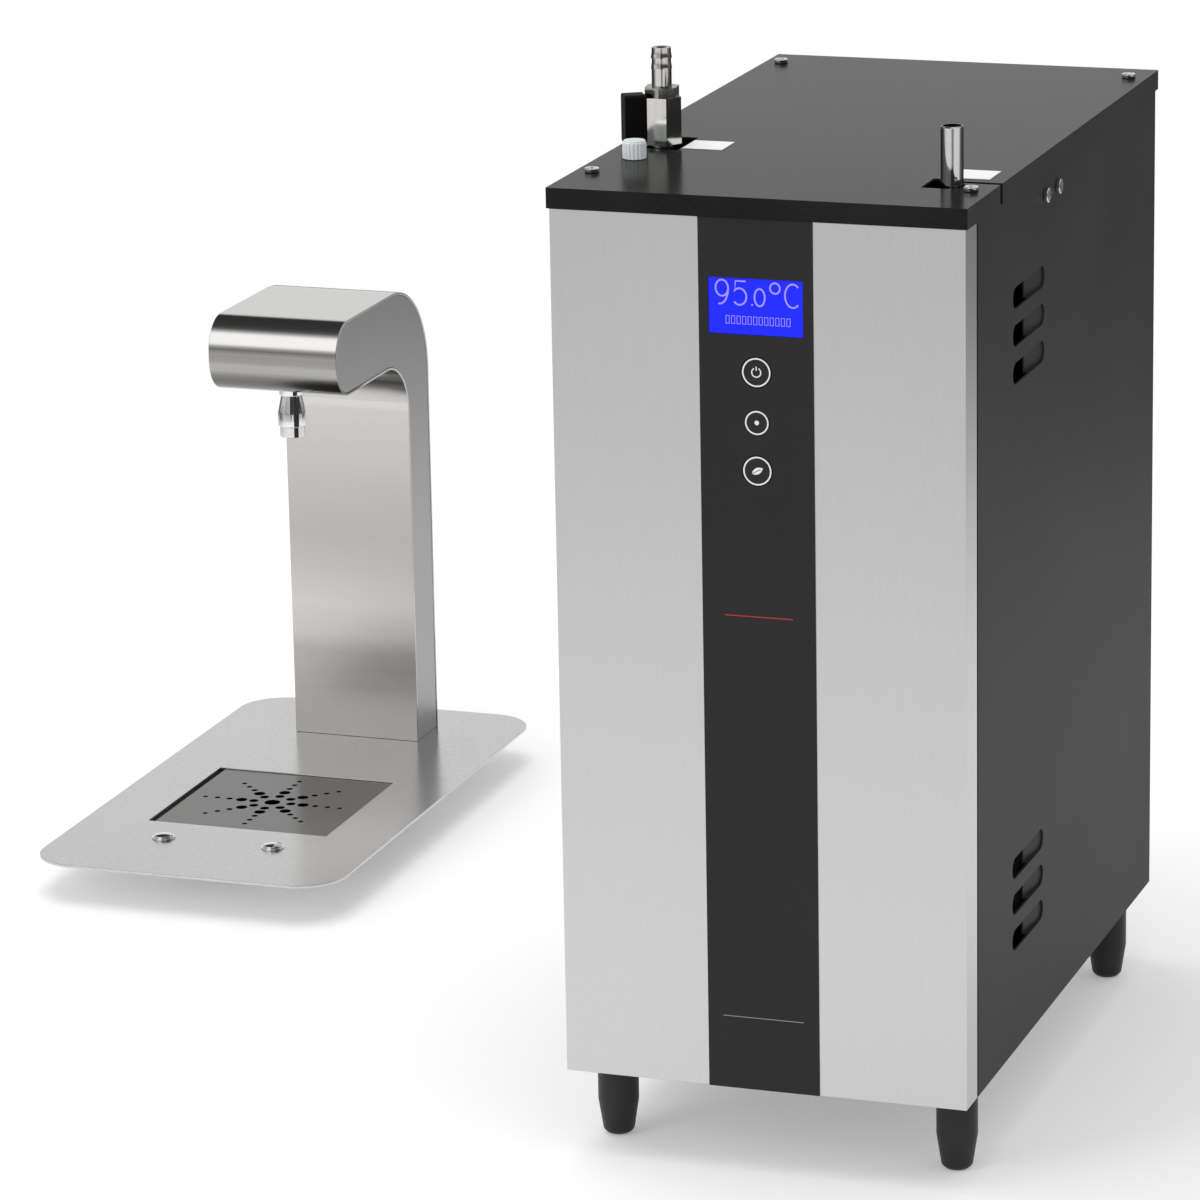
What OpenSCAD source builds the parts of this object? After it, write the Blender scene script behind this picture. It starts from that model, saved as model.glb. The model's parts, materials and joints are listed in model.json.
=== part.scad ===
// Countertop hot water dispenser: a bent stainless spout unit on a drip-tray base plate, and the
// boiler that feeds it, standing side by side. Millimetres, +Z up. The origin is the middle of the
// floor area that the two units cover together.

/* [Set] */
// Clear space between the base plate and the boiler case
unit_gap = 247.6; // [150:0.1:320]
// How far the base plate's front edge stands behind the boiler's front face
font_set_back = 293; // [0:1:320]
// Gap between fixed pieces that are pushed together
fit = 0.2; // [0.1:0.05:0.4]
// Radial clearance of a shaft or cap that turns or slides in its bore
run = 0.06; // [0.02:0.01:0.1]

/* [Base plate] */
// Width of the base plate
plate_w = 190; // [160:1:240]
// Depth of the base plate, front to back
plate_d = 354; // [340:1:400]
// Thickness of the base plate
plate_t = 1.5; // [1:0.1:3]
// Radius of the plate's four corners
plate_corner = 28; // [5:1:50]
// Height of the plate's underside above the surface
plate_lift = 22; // [20:1:60]

/* [Column and head] */
// Width of the column and the head
col_w = 81; // [60:1:100]
// Depth of the column, front to back
col_d = 35; // [28:1:45]
// Distance from the plate's front edge to the column's front face
col_y = 285; // [276:1:300]
// Height of the head's top above the plate
head_top = 287; // [250:1:380]
// Thickness of the head, top to bottom
head_t = 45; // [41:0.5:55]
// Reach of the nose in front of the column
head_reach = 115; // [100:1:150]
// Radius of the outer bend at the back
bend_outer = 57; // [40:1:70]
// Radius of the inner bend under the head
bend_inner = 33; // [15:1:45]
// Radius of the nose's two edges
nose_r = 20; // [6:0.5:20]
// Thickness of the wrapped skin
skin_t = 1.5; // [1:0.1:2.5]
// Thickness of the side cheeks
cheek_t = 2; // [1:0.1:3]
// How far the cheeks sit inside the skin's edges
cheek_recess = 0.3; // [0.1:0.1:1]

/* [Nozzle] */
// Distance from the nose's front to the nozzle's axis
nozzle_back = 28; // [24:1:60]
// Diameter of the collar under the head
collar_d = 14.5; // [13:0.5:20]
// Height of the collar
collar_h = 4; // [2:0.5:6]
// Diameter at the top of the nozzle's cone
cone_top_d = 12; // [10.5:0.1:14]
// Diameter of the nozzle's lower cylinder
nozzle_d = 16.8; // [16:0.1:20]
// Height of the cone
cone_h = 11; // [6:0.5:18]
// Height of the cylinder under the cone
nozzle_cyl_h = 7.6; // [3:0.1:10]
// Diameter of the tip ring
tip_d = 15; // [12:0.1:15.9]
// Height of the tip ring
tip_h = 6.8; // [3:0.1:8]
// Diameter of the nozzle's threaded neck inside the head
neck_d = 10; // [9:0.5:10.5]
// Length of the neck above the head's underside
neck_h = 10; // [6:0.5:12]
// Outer diameter of the spout tube
tube_d = 8; // [6:0.5:8.5]
// Wall of the spout tube
tube_t = 1; // [0.5:0.1:1.5]

/* [Drip tray] */
// Width of the square opening for the drip grid
grid_open_w = 113; // [90:1:130]
// Depth of the opening, front to back
grid_open_d = 110; // [90:1:120]
// Distance from the plate's front edge to the opening's middle
grid_y = 147; // [138:1:160]
// Thickness of the drip grid
grid_t = 1.5; // [1:0.1:3]
// How far the grid lies below the plate's top
grid_recess = 0.7; // [0.2:0.1:1.5]
// Finger gap at the grid's left edge
grid_finger_gap = 3.5; // [2:0.5:5]
// Gap round the grid's other edges
grid_gap = 0.6; // [0.3:0.1:1]
// Diameter of the middle drain hole
star_hub_d = 9.5; // [6:0.5:14]
// Diameter of each ray's first hole, next to the middle
star_hole_1_d = 5.6; // [3:0.1:7]
// Diameter of the second hole
star_hole_2_d = 6.8; // [3:0.1:7]
// Diameter of the third hole
star_hole_3_d = 3.8; // [2:0.1:5]
// Diameter of the fourth hole
star_hole_4_d = 3.4; // [2:0.1:5]
// Diameter of the fifth hole
star_hole_5_d = 3; // [2:0.1:5]
// Distance from the middle to the first hole
star_start = 12; // [11:0.5:14]
// Spacing of the holes along a ray
star_step = 7.8; // [7:0.1:8.5]
// Sheet thickness of the drip pan
pan_t = 1; // [0.8:0.1:1.5]
// Width of the pan's flange under the plate
pan_flange = 9; // [6:0.5:14]
// Width of the shelf that carries the grid
pan_shelf = 7; // [6:0.5:10]
// Outer diameter of the drain spigot
spigot_d = 12; // [8:0.5:13]
// Length of the drain spigot
spigot_l = 20; // [12:1:30]
// Wall of the drain spigot
spigot_t = 1; // [0.8:0.1:2]

/* [Push buttons] */
// Distance of each button from the plate's middle line
button_x = 34.5; // [25:0.5:45]
// Distance of the buttons from the plate's front edge
button_y = 63.5; // [50:0.5:70]
// Diameter of the button's bezel
bezel_d = 13.6; // [13.5:0.1:18]
// Height of the bezel above the plate
bezel_h = 1; // [0.6:0.1:2]
// Diameter of the domed cap
cap_d = 11; // [9:0.1:11]
// Height of the dome's middle above the bezel
cap_rise = 1.8; // [1.6:0.1:3]
// Travel of a pressed button
cap_travel = 1.5; // [0.5:0.1:1.5]
// Diameter of the button's threaded barrel
barrel_d = 12.4; // [12:0.1:13]
// Length of the barrel below the plate
barrel_l = 17; // [12:0.5:18]
// Width across flats of the button's nut
button_nut_af = 16; // [15:0.5:20]
// Height of the button's nut
button_nut_h = 2.5; // [1.5:0.5:4]

/* [Spout unit fixings] */
// Height of the foot block inside the column
foot_block_h = 8; // [6:0.5:14]
// Diameter of the mounting studs
stud_d = 6; // [5:0.5:8]
// Stud spacing across the column
stud_pitch_x = 56; // [46:1:60]
// Stud spacing front to back
stud_pitch_y = 19; // [17:1:22]
// Diameter of the screws that hold the foot block to the plate
foot_screw_d = 5; // [4:0.5:6]
// Distance of those screws from the column's middle
foot_screw_x = 17; // [14:0.5:19]
// Outer diameter of the hose tail below the plate
tail_d = 8; // [6:0.5:10]
// Length of the hose tail's free end
tail_l = 16; // [10:1:20]
// Diameter of the connector that holds the tail
connector_d = 14; // [12.5:0.5:16]

/* [Boiler case] */
// Width of the boiler case
boiler_w = 210; // [206:1:260]
// Depth of the boiler case
boiler_d = 376; // [360:1:440]
// Height of the case panels
panel_h = 445; // [438:1:520]
// Thickness of the case sheets
sheet_t = 1.2; // [0.8:0.1:1.6]
// Depth of the front panel's folded sides
front_return = 19.5; // [12:0.5:20]
// Shadow gap between the folded sides and the side panels
shadow_gap = 2; // [0.5:0.5:4]
// Height of the tray's and the deck's folded edges
flange_h = 22; // [18:1:30]

/* [Front strip] */
// Width of the dark control strip
strip_w = 58; // [54:1:80]
// Thickness of the control strip
strip_t = 0.5; // [0.3:0.1:1]
// Width of the display window
window_w = 47.5; // [40:0.5:50]
// Height of the display window
window_h = 27.5; // [20:0.5:30]
// Height of the window's middle above the panel's lower edge
window_z = 401.7; // [398:0.1:405]
// Height of the power button's middle above the panel's lower edge
power_z = 369.4; // [367:0.1:370]
// Height of the ready light's middle above the panel's lower edge
ready_z = 344.3; // [343:0.1:346]
// Height of the eco button's middle above the panel's lower edge
eco_z = 320.2; // [316:0.1:321]
// Diameter of the power and eco buttons
key_d = 15.2; // [14:0.1:17]
// Diameter of the ready light's lens
lens_d = 12.6; // [10:0.1:15]
// Gap round the front buttons
key_gap = 0.3; // [0.2:0.05:0.5]
// Travel of the front buttons
key_travel = 0.8; // [0.3:0.1:1]

/* [Lid] */
// Height of the lid above the panels
lid_h = 10.5; // [9:0.5:20]
// Overhang of the lid beyond the panels
lid_over = 1.2; // [0.5:0.1:3]
// Distance of the lid screws from the case's sides
lid_screw_in = 8.5; // [7:0.5:12]
// Distance of the front lid screws from the front
lid_screw_front = 40; // [10:1:42]
// Distance of the rear lid screws from the back
lid_screw_rear = 25; // [10:1:60]
// Diameter of the case screws' heads
screw_head_d = 7.5; // [6:0.1:9]
// Height of the case screws' heads
screw_head_h = 2.4; // [1.5:0.1:3.5]
// Diameter of the case screws' shanks
screw_d = 4; // [3:0.1:4.5]
// Length of the case screws' shanks
screw_l = 8; // [6:0.5:9]
// Side length of the square labels on the lid
label_w = 21; // [15:1:30]
// Thickness of the labels
label_t = 0.3; // [0.2:0.1:0.5]

/* [Lid fittings] */
// Distance of the vent tube from the case's right side
vent_in = 21; // [17:1:25]
// Distance of the vent tube from the case's front
vent_y = 51; // [50:1:56]
// Outer diameter of the vent tube
vent_d = 11.3; // [8:0.1:12]
// Wall of the vent tube
vent_t = 1; // [0.5:0.1:2]
// Height of the vent tube above the lid
vent_rise = 29.5; // [15:0.5:50]
// Distance of the outlet valve from the case's left side
valve_in = 21; // [20.5:0.5:25]
// Distance of the outlet valve from the case's front
valve_y = 112; // [110:0.5:116]
// Width across flats of the valve body
valve_af = 17.5; // [16:0.5:18]
// Width across flats of the nut on top of the valve
valve_nut_af = 15.8; // [14:0.1:16]
// Height of the valve body above the lid
valve_rise = 25.7; // [24:0.1:36]
// Bore of the valve body and the hose barb
valve_bore = 5; // [3:0.5:6]
// Height of the hose barb's nut
barb_nut_h = 5; // [4:0.5:10]
// Diameter of the hose barb over its ridges
barb_d = 10.6; // [8:0.1:13]
// Length of the hose barb above its nut
barb_l = 19.7; // [15:0.1:35]
// Width of the valve lever, along its stem
lever_w = 11; // [8:0.1:11]
// Length of the valve lever
lever_l = 24.5; // [20:0.1:25]
// Thickness of the valve lever
lever_t = 11; // [9:0.1:12]
// Radius of the lever's corners
lever_corner = 1.6; // [1:0.2:4]
// Diameter of the valve's stem
stem_d = 5; // [3:0.1:6]
// Distance of the ribbed cap from the case's left side
bleed_in = 17.4; // [12:0.1:22]
// Distance of the ribbed cap from the case's front
bleed_y = 78.6; // [60:0.1:82]
// Diameter of the ribbed cap
bleed_cap_d = 12; // [9:0.1:14]
// Height of the ribbed cap
bleed_cap_h = 9; // [6:0.5:12]
// Number of ribs on the cap
bleed_ribs = 18; // [8:1:24]

/* [Louvres] */
// Distance from the case's front to the louvres' open ends
louvre_y = 86; // [70:1:120]
// Length of a louvre
louvre_l = 60; // [40:1:80]
// Height of a louvre
louvre_h = 11; // [6:0.5:14]
// Length of a louvre's open end
louvre_mouth = 32; // [24:1:36]
// Depth of a louvre's ramp
louvre_depth = 2.8; // [2:0.1:5]
// Spacing of the louvres
louvre_pitch = 19.1; // [17:0.1:24]
// Height of the lowest louvre above the panel's lower edge
louvre_low_z = 59.3; // [50:0.1:90]
// Height of the upper group's lowest louvre above the panel's lower edge
louvre_high_z = 354.2; // [300:0.1:358]

/* [Feet] */
// Height of the feet
foot_h = 44; // [25:1:60]
// Diameter of the feet
foot_d = 21; // [18:0.5:30]
// Diameter at the foot's lower end
foot_tip_d = 16; // [12:0.5:18]
// Distance of the feet from the case's sides
foot_in_x = 15; // [14:0.5:25]
// Distance of the feet from the case's front and back
foot_in_y = 35.5; // [25:0.5:45]
// Diameter of the foot's stud
foot_stud_d = 8; // [6:0.5:10]

/* [Tank] */
// Outer diameter of the tank
tank_d = 150; // [145:1:160]
// Height of the tank's body
tank_h = 250; // [220:1:260]
// Wall of the tank
tank_t = 1.2; // [0.8:0.1:2]
// Distance of the tank's axis from the case's back
tank_back = 181; // [176:1:186]
// Height of the posts under the tank
post_h = 32; // [28:1:40]
// Diameter of the tank's posts
post_d = 10; // [8:1:16]
// Distance of the posts from the tank's axis
post_r = 55; // [40:1:65]
// Width of the rim that carries the cover bolts
rim_w = 11; // [10:0.5:16]
// Thickness of the tank's cover
cover_t = 3; // [2:0.5:5]
// Thickness of the tank's gasket
gasket_t = 2; // [1:0.5:3]
// Thickness of the tank's flange
flange_t = 2; // [1:0.5:3]
// Distance of the cover bolts from the tank's wall
bolt_out = 6; // [5.5:0.1:6.5]
// Number of cover bolts
bolt_count = 8; // [6:1:12]
// Diameter of the cover bolts
bolt_d = 5; // [4:0.5:6]
// Thickness of the insulation jacket
jacket_t = 17; // [8:1:20]
// Bare wall left between the jacket and the top of the tank
jacket_gap = 16; // [9:1:90]

/* [Plumbing and electrics] */
// Outer diameter of the pipes inside the case
pipe_d = 10; // [8:0.5:12]
// Wall of the pipes inside the case
pipe_t = 1; // [0.5:0.1:1.5]
// Diameter of the water inlet's thread
inlet_d = 26.4; // [20:0.1:30]
// Length of the inlet's thread behind the case
inlet_l = 15; // [10:0.5:20]
// Bore of the water inlet
inlet_bore = 12; // [8:0.5:16]
// Distance of the inlet and the gland from the case's middle line
rear_port_x = 60; // [50:1:70]
// Height of the inlet and the gland above the panel's lower edge
rear_port_z = 56; // [45:1:80]
// Diameter of the pump's head
pump_d = 46; // [40:1:50]
// Height of the pump's head
pump_h = 32; // [28:1:40]
// Diameter of the pump's motor
motor_d = 42; // [30:1:44]
// Height of the pump's motor
motor_h = 66; // [40:1:90]
// Outer diameter of the cable gland's nut
gland_d = 24; // [20:1:28]
// Cable hole of the gland
gland_bore = 9; // [6:0.5:12]
// Thickness of the circuit boards
board_t = 1.6; // [1:0.2:2.4]

/* [Hidden] */
$fn = 96;
eps = 0.01;
cut = 1;                       // how far a cutting shape runs past a face
step = 0.4;                    // how much a shank narrows where it enters a wall
shoulder = 1;                  // length of the narrowed shank outside the wall
elbow_extra = 2;               // how much wider an elbow is than its tube
hex_k = 1 / cos(30);           // width across corners from width across flats
sides = [-1, 1];

// Where the units stand
right_reach = max(lid_over, screw_head_h);
set_w = plate_w + unit_gap + boiler_w + right_reach;
set_d = lid_over + font_set_back + plate_d;
font_x = -set_w / 2 + plate_w / 2;
boiler_x = set_w / 2 - right_reach - boiler_w / 2;
boiler_y = -set_d / 2 + lid_over;
font_y = boiler_y + font_set_back;

// Spout unit, with y from the plate's front edge
plate_top = plate_lift + plate_t;
col_back = col_y + col_d;
col_mid = col_y + col_d / 2;
head_under = head_top - head_t;
nose_y = col_y - head_reach;
nozzle_y = nose_y + nozzle_back;
under_z = plate_top + head_under;
nozzle_bore = tube_d - 2 * tube_t;
collar_z = under_z - collar_h;
cone_z = collar_z - cone_h;
nozzle_cyl_z = cone_z - nozzle_cyl_h;
tip_z = nozzle_cyl_z - tip_h;
tube_run_z = plate_top + head_top - head_t / 2;
tube_bend = 28;                // how far the spout tube cuts the corner of the bend
cheek_x = col_w / 2 - cheek_recess - cheek_t;
foot_block_w = 2 * (cheek_x - fit);
foot_block_d = col_d - 2 * (skin_t + fit);
tail_z = plate_lift / 2;
connector_top = plate_lift - fit;

// Drip tray
grid_top = plate_top - grid_recess;
shelf_z = grid_top - grid_t;
pan_in_w = grid_open_w - 2 * pan_shelf;
pan_in_d = grid_open_d - 2 * pan_shelf;
spigot_z = plate_lift / 2;

// Boiler, with y from the front face
case_z = foot_h;
case_top = case_z + panel_h;
lid_top = case_top + lid_h;
inner_x = boiler_w / 2 - sheet_t;
tray_top = case_z + sheet_t;
side_y = front_return + shadow_gap;
foot_x = boiler_w / 2 - foot_in_x;
lid_screw_x = boiler_w / 2 - lid_screw_in;
lid_under = lid_top - sheet_t;
side_screw_y = [146.5, 170];   // two screws that hold the deck to the right panel
side_screw_z = case_top - 12;
key_stem_d = 4;
board_y = 14;                  // front of the control board behind the front face
board_w = 54;
board_rim = 17;                // board beyond the eco button and the window
board_z0 = case_z + eco_z - board_rim;
board_h = window_z + window_h / 2 + board_rim - eco_z + board_rim;
standoff_d = 5;
switch_w = 6;
switch_y = 8.5;
foot_stud_up = 12;
foot_nut_h = 6;
foot_nut_af = 13;

// Tank stack
tank_y = boiler_d - tank_back;
tank_z = tray_top + post_h;
tank_top = tank_z + tank_h;
cover_d = tank_d + 2 * rim_w;
bolt_circle_d = tank_d + 2 * bolt_out;
jacket_d = tank_d + 2 * jacket_t;
cover_z = tank_top + gasket_t;
cover_top = cover_z + cover_t;
jacket_low = 2;                // bare wall left below the jacket
jacket_z = tank_z + jacket_low;
jacket_h = tank_h - jacket_low - jacket_gap;
bolt_head_af = 8;
bolt_head_h = 3.5;
probe_x = 45;
probe_hole_d = 12;
element_rise = 30;             // lowest points of the rods above the tank's floor
temperature_rise = 120;
level_rise = 110;
level_step = 40;
element_leg_x = 12;
element_d = 8;
feed_port = [-40, 45];         // from the tank's axis
vent_port = [40, -45];
draw_port = [-25, -35];
cutout_port = [0, 58];
probe_rod_d = 6;               // temperature probe: rod, hexagon and lead
probe_hex_af = 14;
probe_hex_h = 6;
probe_lead_h = 12;
level_head_d = 24;             // level probes: head and its three rods
level_head_h = 12;
level_rod_d = 2.5;
level_rod_r = 3.5;
level_rod_top = 20;

// Lid openings
vent_x = boiler_w / 2 - vent_in;
valve_x = boiler_w / 2 - valve_in;
vent_hole_x = vent_x - 13.5;
vent_hole_y = vent_y - 8.4;
vent_hole_w = 14.2;
vent_hole_d = 23;
vent_gap = 1;
vent_slot_y = vent_y + 7;
vent_slot_d = 4;
vent_label = [3.5, 28];        // label's middle from the vent tube
lever_gap = 0.35;
lever_x = valve_af / 2 + lever_gap;
lever_z = lid_top + 15.2;
valve_turn = 30;               // the valve's stem points to the left and a little forward
nut_turn = 7;
valve_neck_d = 13;
neck_top = lid_top + 2;
valve_hole_x = -valve_x - 8;
valve_hole_y = valve_y - 7.5;
valve_hole_w = 18.5;
valve_hole_d = 33.5;
valve_label = [21.8, 7.3];     // label's middle from the valve
bleed_shank_d = 6;
bleed_gap = 0.3;

// Pump place
inlet_body_l = 42;
inlet_stub_l = 10;
inlet_flange_l = 4;
inlet_body_wall = 1;           // how far the body stands out round the thread's diameter
inlet_flange_rim = 3;
inlet_stub_wall = 2;
inlet_bore_end = 6;            // body left behind the end of the bore
inlet_coil_w = 30;
inlet_coil_h = 34;
pump_in = 60;
pump_x = -boiler_w / 2 + pump_in;
pump_y = 45;
pump_port_z = tray_top + pump_h / 2;

// ---------- shared shapes ----------

// Puts a piece of the spout unit in its place in the set
module on_font() translate([font_x, font_y, 0]) children();

// Puts a piece of the boiler in its place in the set
module on_boiler() translate([boiler_x, boiler_y, 0]) children();

// Flat rectangle with round corners, about its middle
module rounded_rect(w, d, r) {
  square([w - 2 * r, d], center = true);
  square([w, d - 2 * r], center = true);
  for (x = sides, y = sides)
    translate([x * (w / 2 - r), y * (d / 2 - r)]) circle(r);
}

// Box from a corner to another corner
module block(from, to) translate(from) cube(to - from);

// Upright round bar
module bar(d, z0, z1) translate([0, 0, z0]) cylinder(d = d, h = z1 - z0);

// Upright hexagon bar, measured across its flats
module hex_bar(af, z0, z1) translate([0, 0, z0]) cylinder(d = af * hex_k, h = z1 - z0, $fn = 6);

// Round bar along y
module bar_y(d, y0, y1) translate([0, y0, 0]) rotate([-90, 0, 0]) cylinder(d = d, h = y1 - y0);

// Round bar along x
module bar_x(d, x0, x1) translate([x0, 0, 0]) rotate([0, 90, 0]) cylinder(d = d, h = x1 - x0);

// Straight round bar between two points
module strut(a, b, d) {
  v = b - a;
  reach = norm([v.x, v.y]);
  translate(a) rotate([0, atan2(reach, v.z), atan2(v.y, v.x)]) cylinder(d = d, h = norm(v));
}

// Round bars along a row of points
module path_bar(points, d) {
  for (i = [0 : len(points) - 2]) strut(points[i], points[i + 1], d);
}

// Tube along a row of points, with a ball elbow at each turn
module path_tube(points, d, wall) {
  difference() {
    union() {
      path_bar(points, d);
      for (i = [1 : 1 : len(points) - 2]) translate(points[i]) sphere(d = d + elbow_extra);
    }
    path_bar(points, d - 2 * wall);
    for (i = [1 : 1 : len(points) - 2]) translate(points[i])
      sphere(d = d - 2 * wall + elbow_extra / 2);
  }
}

// What is left of a square corner outside its rounding: sx and sy point into the corner
module corner_rest(x, y, sx, sy, r) {
  translate([x, y]) difference() {
    translate([sx > 0 ? 0 : -r - eps, sy > 0 ? 0 : -r - eps]) square(r + eps);
    circle(r);
  }
}

// Side outline of the column and head, drawn inwards by inset: first axis back, second axis up
module side_outline(inset) {
  front = col_y + inset;
  back = col_back - inset;
  top = head_top - inset;
  under = head_under + inset;
  nose = nose_y + inset;
  ro = bend_outer - inset;
  ri = bend_inner + inset;
  rn = nose_r - inset;
  difference() {
    union() {
      translate([front, 0]) square([back - front, top]);
      translate([nose, under]) square([back - nose, top - under]);
      difference() {
        translate([front - ri, under - ri]) square(ri + eps);
        translate([front - ri, under - ri]) circle(ri);
      }
    }
    corner_rest(back - ro, top - ro, 1, 1, ro);
    corner_rest(nose + rn, top - rn, -1, 1, rn);
    corner_rest(nose + rn, under + rn, -1, -1, rn);
  }
}

// Stands a side outline up on the plate, from x0 to x1
module stand_outline(x0, x1, inset) {
  translate([x0, 0, plate_top]) rotate([90, 0, 90])
    linear_extrude(height = x1 - x0) side_outline(inset);
}

// ---------- spout unit ----------

module base_plate() color("silver") on_font() {
  difference() {
    translate([0, plate_d / 2, plate_lift]) linear_extrude(height = plate_t)
      rounded_rect(plate_w, plate_d, plate_corner);
    translate([0, grid_y, plate_top]) cube([grid_open_w, grid_open_d, 4 * plate_t], center = true);
    for (s = sides) translate([s * button_x, button_y, 0])
      bar(barrel_d + 2 * fit, plate_lift - cut, plate_top + cut);
    translate([0, col_mid, 0]) {
      foot_holes(plate_lift - cut, plate_top + cut);
      bar(tube_d + 2 * fit, plate_lift - cut, plate_top + cut);
    }
  }
}

// Places of the mounting studs about the column's middle
module at_studs() {
  for (x = sides, y = sides)
    translate([x * stud_pitch_x / 2, y * stud_pitch_y / 2, 0]) children();
}

module foot_holes(z0, z1) {
  at_studs() bar(stud_d - step + 2 * run, z0, z1);
  for (s = sides) translate([s * foot_screw_x, 0, 0]) bar(foot_screw_d + 2 * run, z0, z1);
}

module column_skin() color("lightgray") on_font() {
  difference() {
    stand_outline(-col_w / 2, col_w / 2, 0);
    translate([0, 0, -eps]) stand_outline(-col_w / 2 - cut, col_w / 2 + cut, skin_t);
    translate([0, nozzle_y, 0]) bar(neck_d + 2 * run, under_z - cut, under_z + skin_t + cut);
  }
}

module cheek(side) {
  x0 = side > 0 ? cheek_x : -cheek_x - cheek_t;
  stand_outline(x0, x0 + cheek_t, skin_t + fit);
}

module left_cheek() color("darkgray") on_font() cheek(-1);
module right_cheek() color("darkgray") on_font() cheek(1);

module nozzle_collar() color("gainsboro") on_font() translate([0, nozzle_y, 0]) {
  difference() {
    bar(collar_d, collar_z, under_z);
    bar(neck_d + 2 * run, collar_z - cut, under_z + cut);
  }
}

module nozzle_body() color("gainsboro") on_font() translate([0, nozzle_y, 0]) {
  difference() {
    union() {
      bar(neck_d, collar_z - eps, under_z + neck_h);
      translate([0, 0, cone_z]) cylinder(d1 = nozzle_d, d2 = cone_top_d, h = cone_h);
      bar(nozzle_d, nozzle_cyl_z, cone_z + eps);
    }
    bar(nozzle_bore, nozzle_cyl_z - cut, under_z + neck_h + cut);
  }
}

module nozzle_tip() color("silver") on_font() translate([0, nozzle_y, 0]) {
  difference() {
    bar(tip_d, tip_z, nozzle_cyl_z);
    bar(nozzle_bore + 2, tip_z - cut, nozzle_cyl_z + cut);
  }
}

module spout_tube() color("whitesmoke") on_font() {
  path_tube([
    [0, col_mid, connector_top],
    [0, col_mid, tube_run_z - tube_bend],
    [0, col_mid - tube_bend, tube_run_z],
    [0, nozzle_y, tube_run_z],
    [0, nozzle_y, under_z + neck_h + fit]
  ], tube_d, tube_t);
}

module foot_block() color("gray") on_font() translate([0, col_mid, plate_top]) {
  difference() {
    translate([-foot_block_w / 2, -foot_block_d / 2, 0])
      cube([foot_block_w, foot_block_d, foot_block_h]);
    foot_holes(-cut, foot_block_h + cut);
    bar(tube_d + 2 * fit, -cut, foot_block_h + cut);
  }
}

module mounting_studs() color("silver") on_font() translate([0, col_mid, 0])
  at_studs() {
    bar(stud_d, 0, plate_lift - shoulder);
    bar(stud_d - step, plate_lift - shoulder - eps, plate_top + foot_block_h);
  }

module foot_screws() color("silver") on_font() translate([0, col_mid, 0]) {
  for (s = sides) translate([s * foot_screw_x, 0, 0]) {
    bar(foot_screw_d, plate_lift - eps, plate_top + foot_block_h - fit);
    bar(1.8 * foot_screw_d, plate_lift - 0.6 * foot_screw_d, plate_lift);
  }
}

module tube_connector() color("dimgray") on_font() translate([0, col_mid, 0]) {
  difference() {
    union() {
      bar(connector_d, tail_z - connector_d / 2 + fit, connector_top);
      translate([0, 0, tail_z]) {
        bar_y(tail_d - step, 0, connector_d / 2 + shoulder + eps);
        bar_y(tail_d, connector_d / 2 + shoulder, connector_d / 2 + tail_l);
      }
    }
    bar(nozzle_bore, tail_z, connector_top + cut);
    translate([0, 0, tail_z]) bar_y(nozzle_bore - 2, 0, connector_d / 2 + tail_l + cut);
  }
}

// ---------- drip tray ----------

module drip_grid() color("darkgray") on_font() translate([0, grid_y, shelf_z]) {
  hole_ds = [star_hole_1_d, star_hole_2_d, star_hole_3_d, star_hole_4_d, star_hole_5_d];
  difference() {
    translate([-grid_open_w / 2 + grid_finger_gap, -grid_open_d / 2 + grid_gap, 0])
      cube([grid_open_w - grid_finger_gap - grid_gap, grid_open_d - 2 * grid_gap, grid_t]);
    bar(star_hub_d, -cut, grid_t + cut);
    for (ray = [0 : 45 : 315], i = [0 : 4])
      rotate(ray) translate([star_start + i * star_step, 0, 0])
        bar(hole_ds[i], -cut, grid_t + cut);
  }
}

module drip_pan() color("silver") on_font() translate([0, grid_y, 0]) {
  flange_w = grid_open_w + 2 * pan_flange;
  flange_d = grid_open_d + 2 * pan_flange;
  step_w = grid_open_w + 2 * pan_t;
  step_d = grid_open_d + 2 * pan_t;
  difference() {
    union() {
      tray_box(flange_w, flange_d, plate_lift - pan_t, plate_lift);
      tray_box(step_w, step_d, shelf_z - pan_t, plate_lift);
      tray_box(pan_in_w + 2 * pan_t, pan_in_d + 2 * pan_t, 0, plate_lift);
    }
    tray_box(grid_open_w, grid_open_d, shelf_z, plate_lift + cut);
    tray_box(pan_in_w, pan_in_d, pan_t, plate_lift + cut);
    translate([0, 0, spigot_z]) bar_x(spigot_d - step + 2 * run, -grid_open_w, 0);
  }
}

// Box about the middle, from z0 to z1
module tray_box(w, d, z0, z1) translate([-w / 2, -d / 2, z0]) cube([w, d, z1 - z0]);

module drain_spigot() color("silver") on_font() translate([0, grid_y, spigot_z]) {
  wall_x = -pan_in_w / 2;
  neck_x = wall_x - pan_t - shoulder;
  end_x = wall_x - pan_t - spigot_l;
  difference() {
    union() {
      bar_x(spigot_d - step, neck_x - eps, wall_x);
      bar_x(spigot_d, end_x, neck_x);
    }
    bar_x(spigot_d - 2 * spigot_t, end_x - cut, wall_x + cut);
  }
}

// ---------- push buttons of the spout unit ----------

module button_cap(side) translate([side * button_x, button_y, plate_top]) {
  edge = cap_rise / 2;
  dome_r = (pow(cap_d / 2, 2) + pow(edge, 2)) / (2 * edge);
  skirt = 2.5 + cap_travel;
  intersection() {
    bar(cap_d, bezel_h - skirt, bezel_h + cap_rise);
    translate([0, 0, bezel_h + cap_rise - dome_r]) sphere(r = dome_r, $fn = 180);
  }
}

module left_button() color("white") on_font() button_cap(-1);
module right_button() color("white") on_font() button_cap(1);

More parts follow.
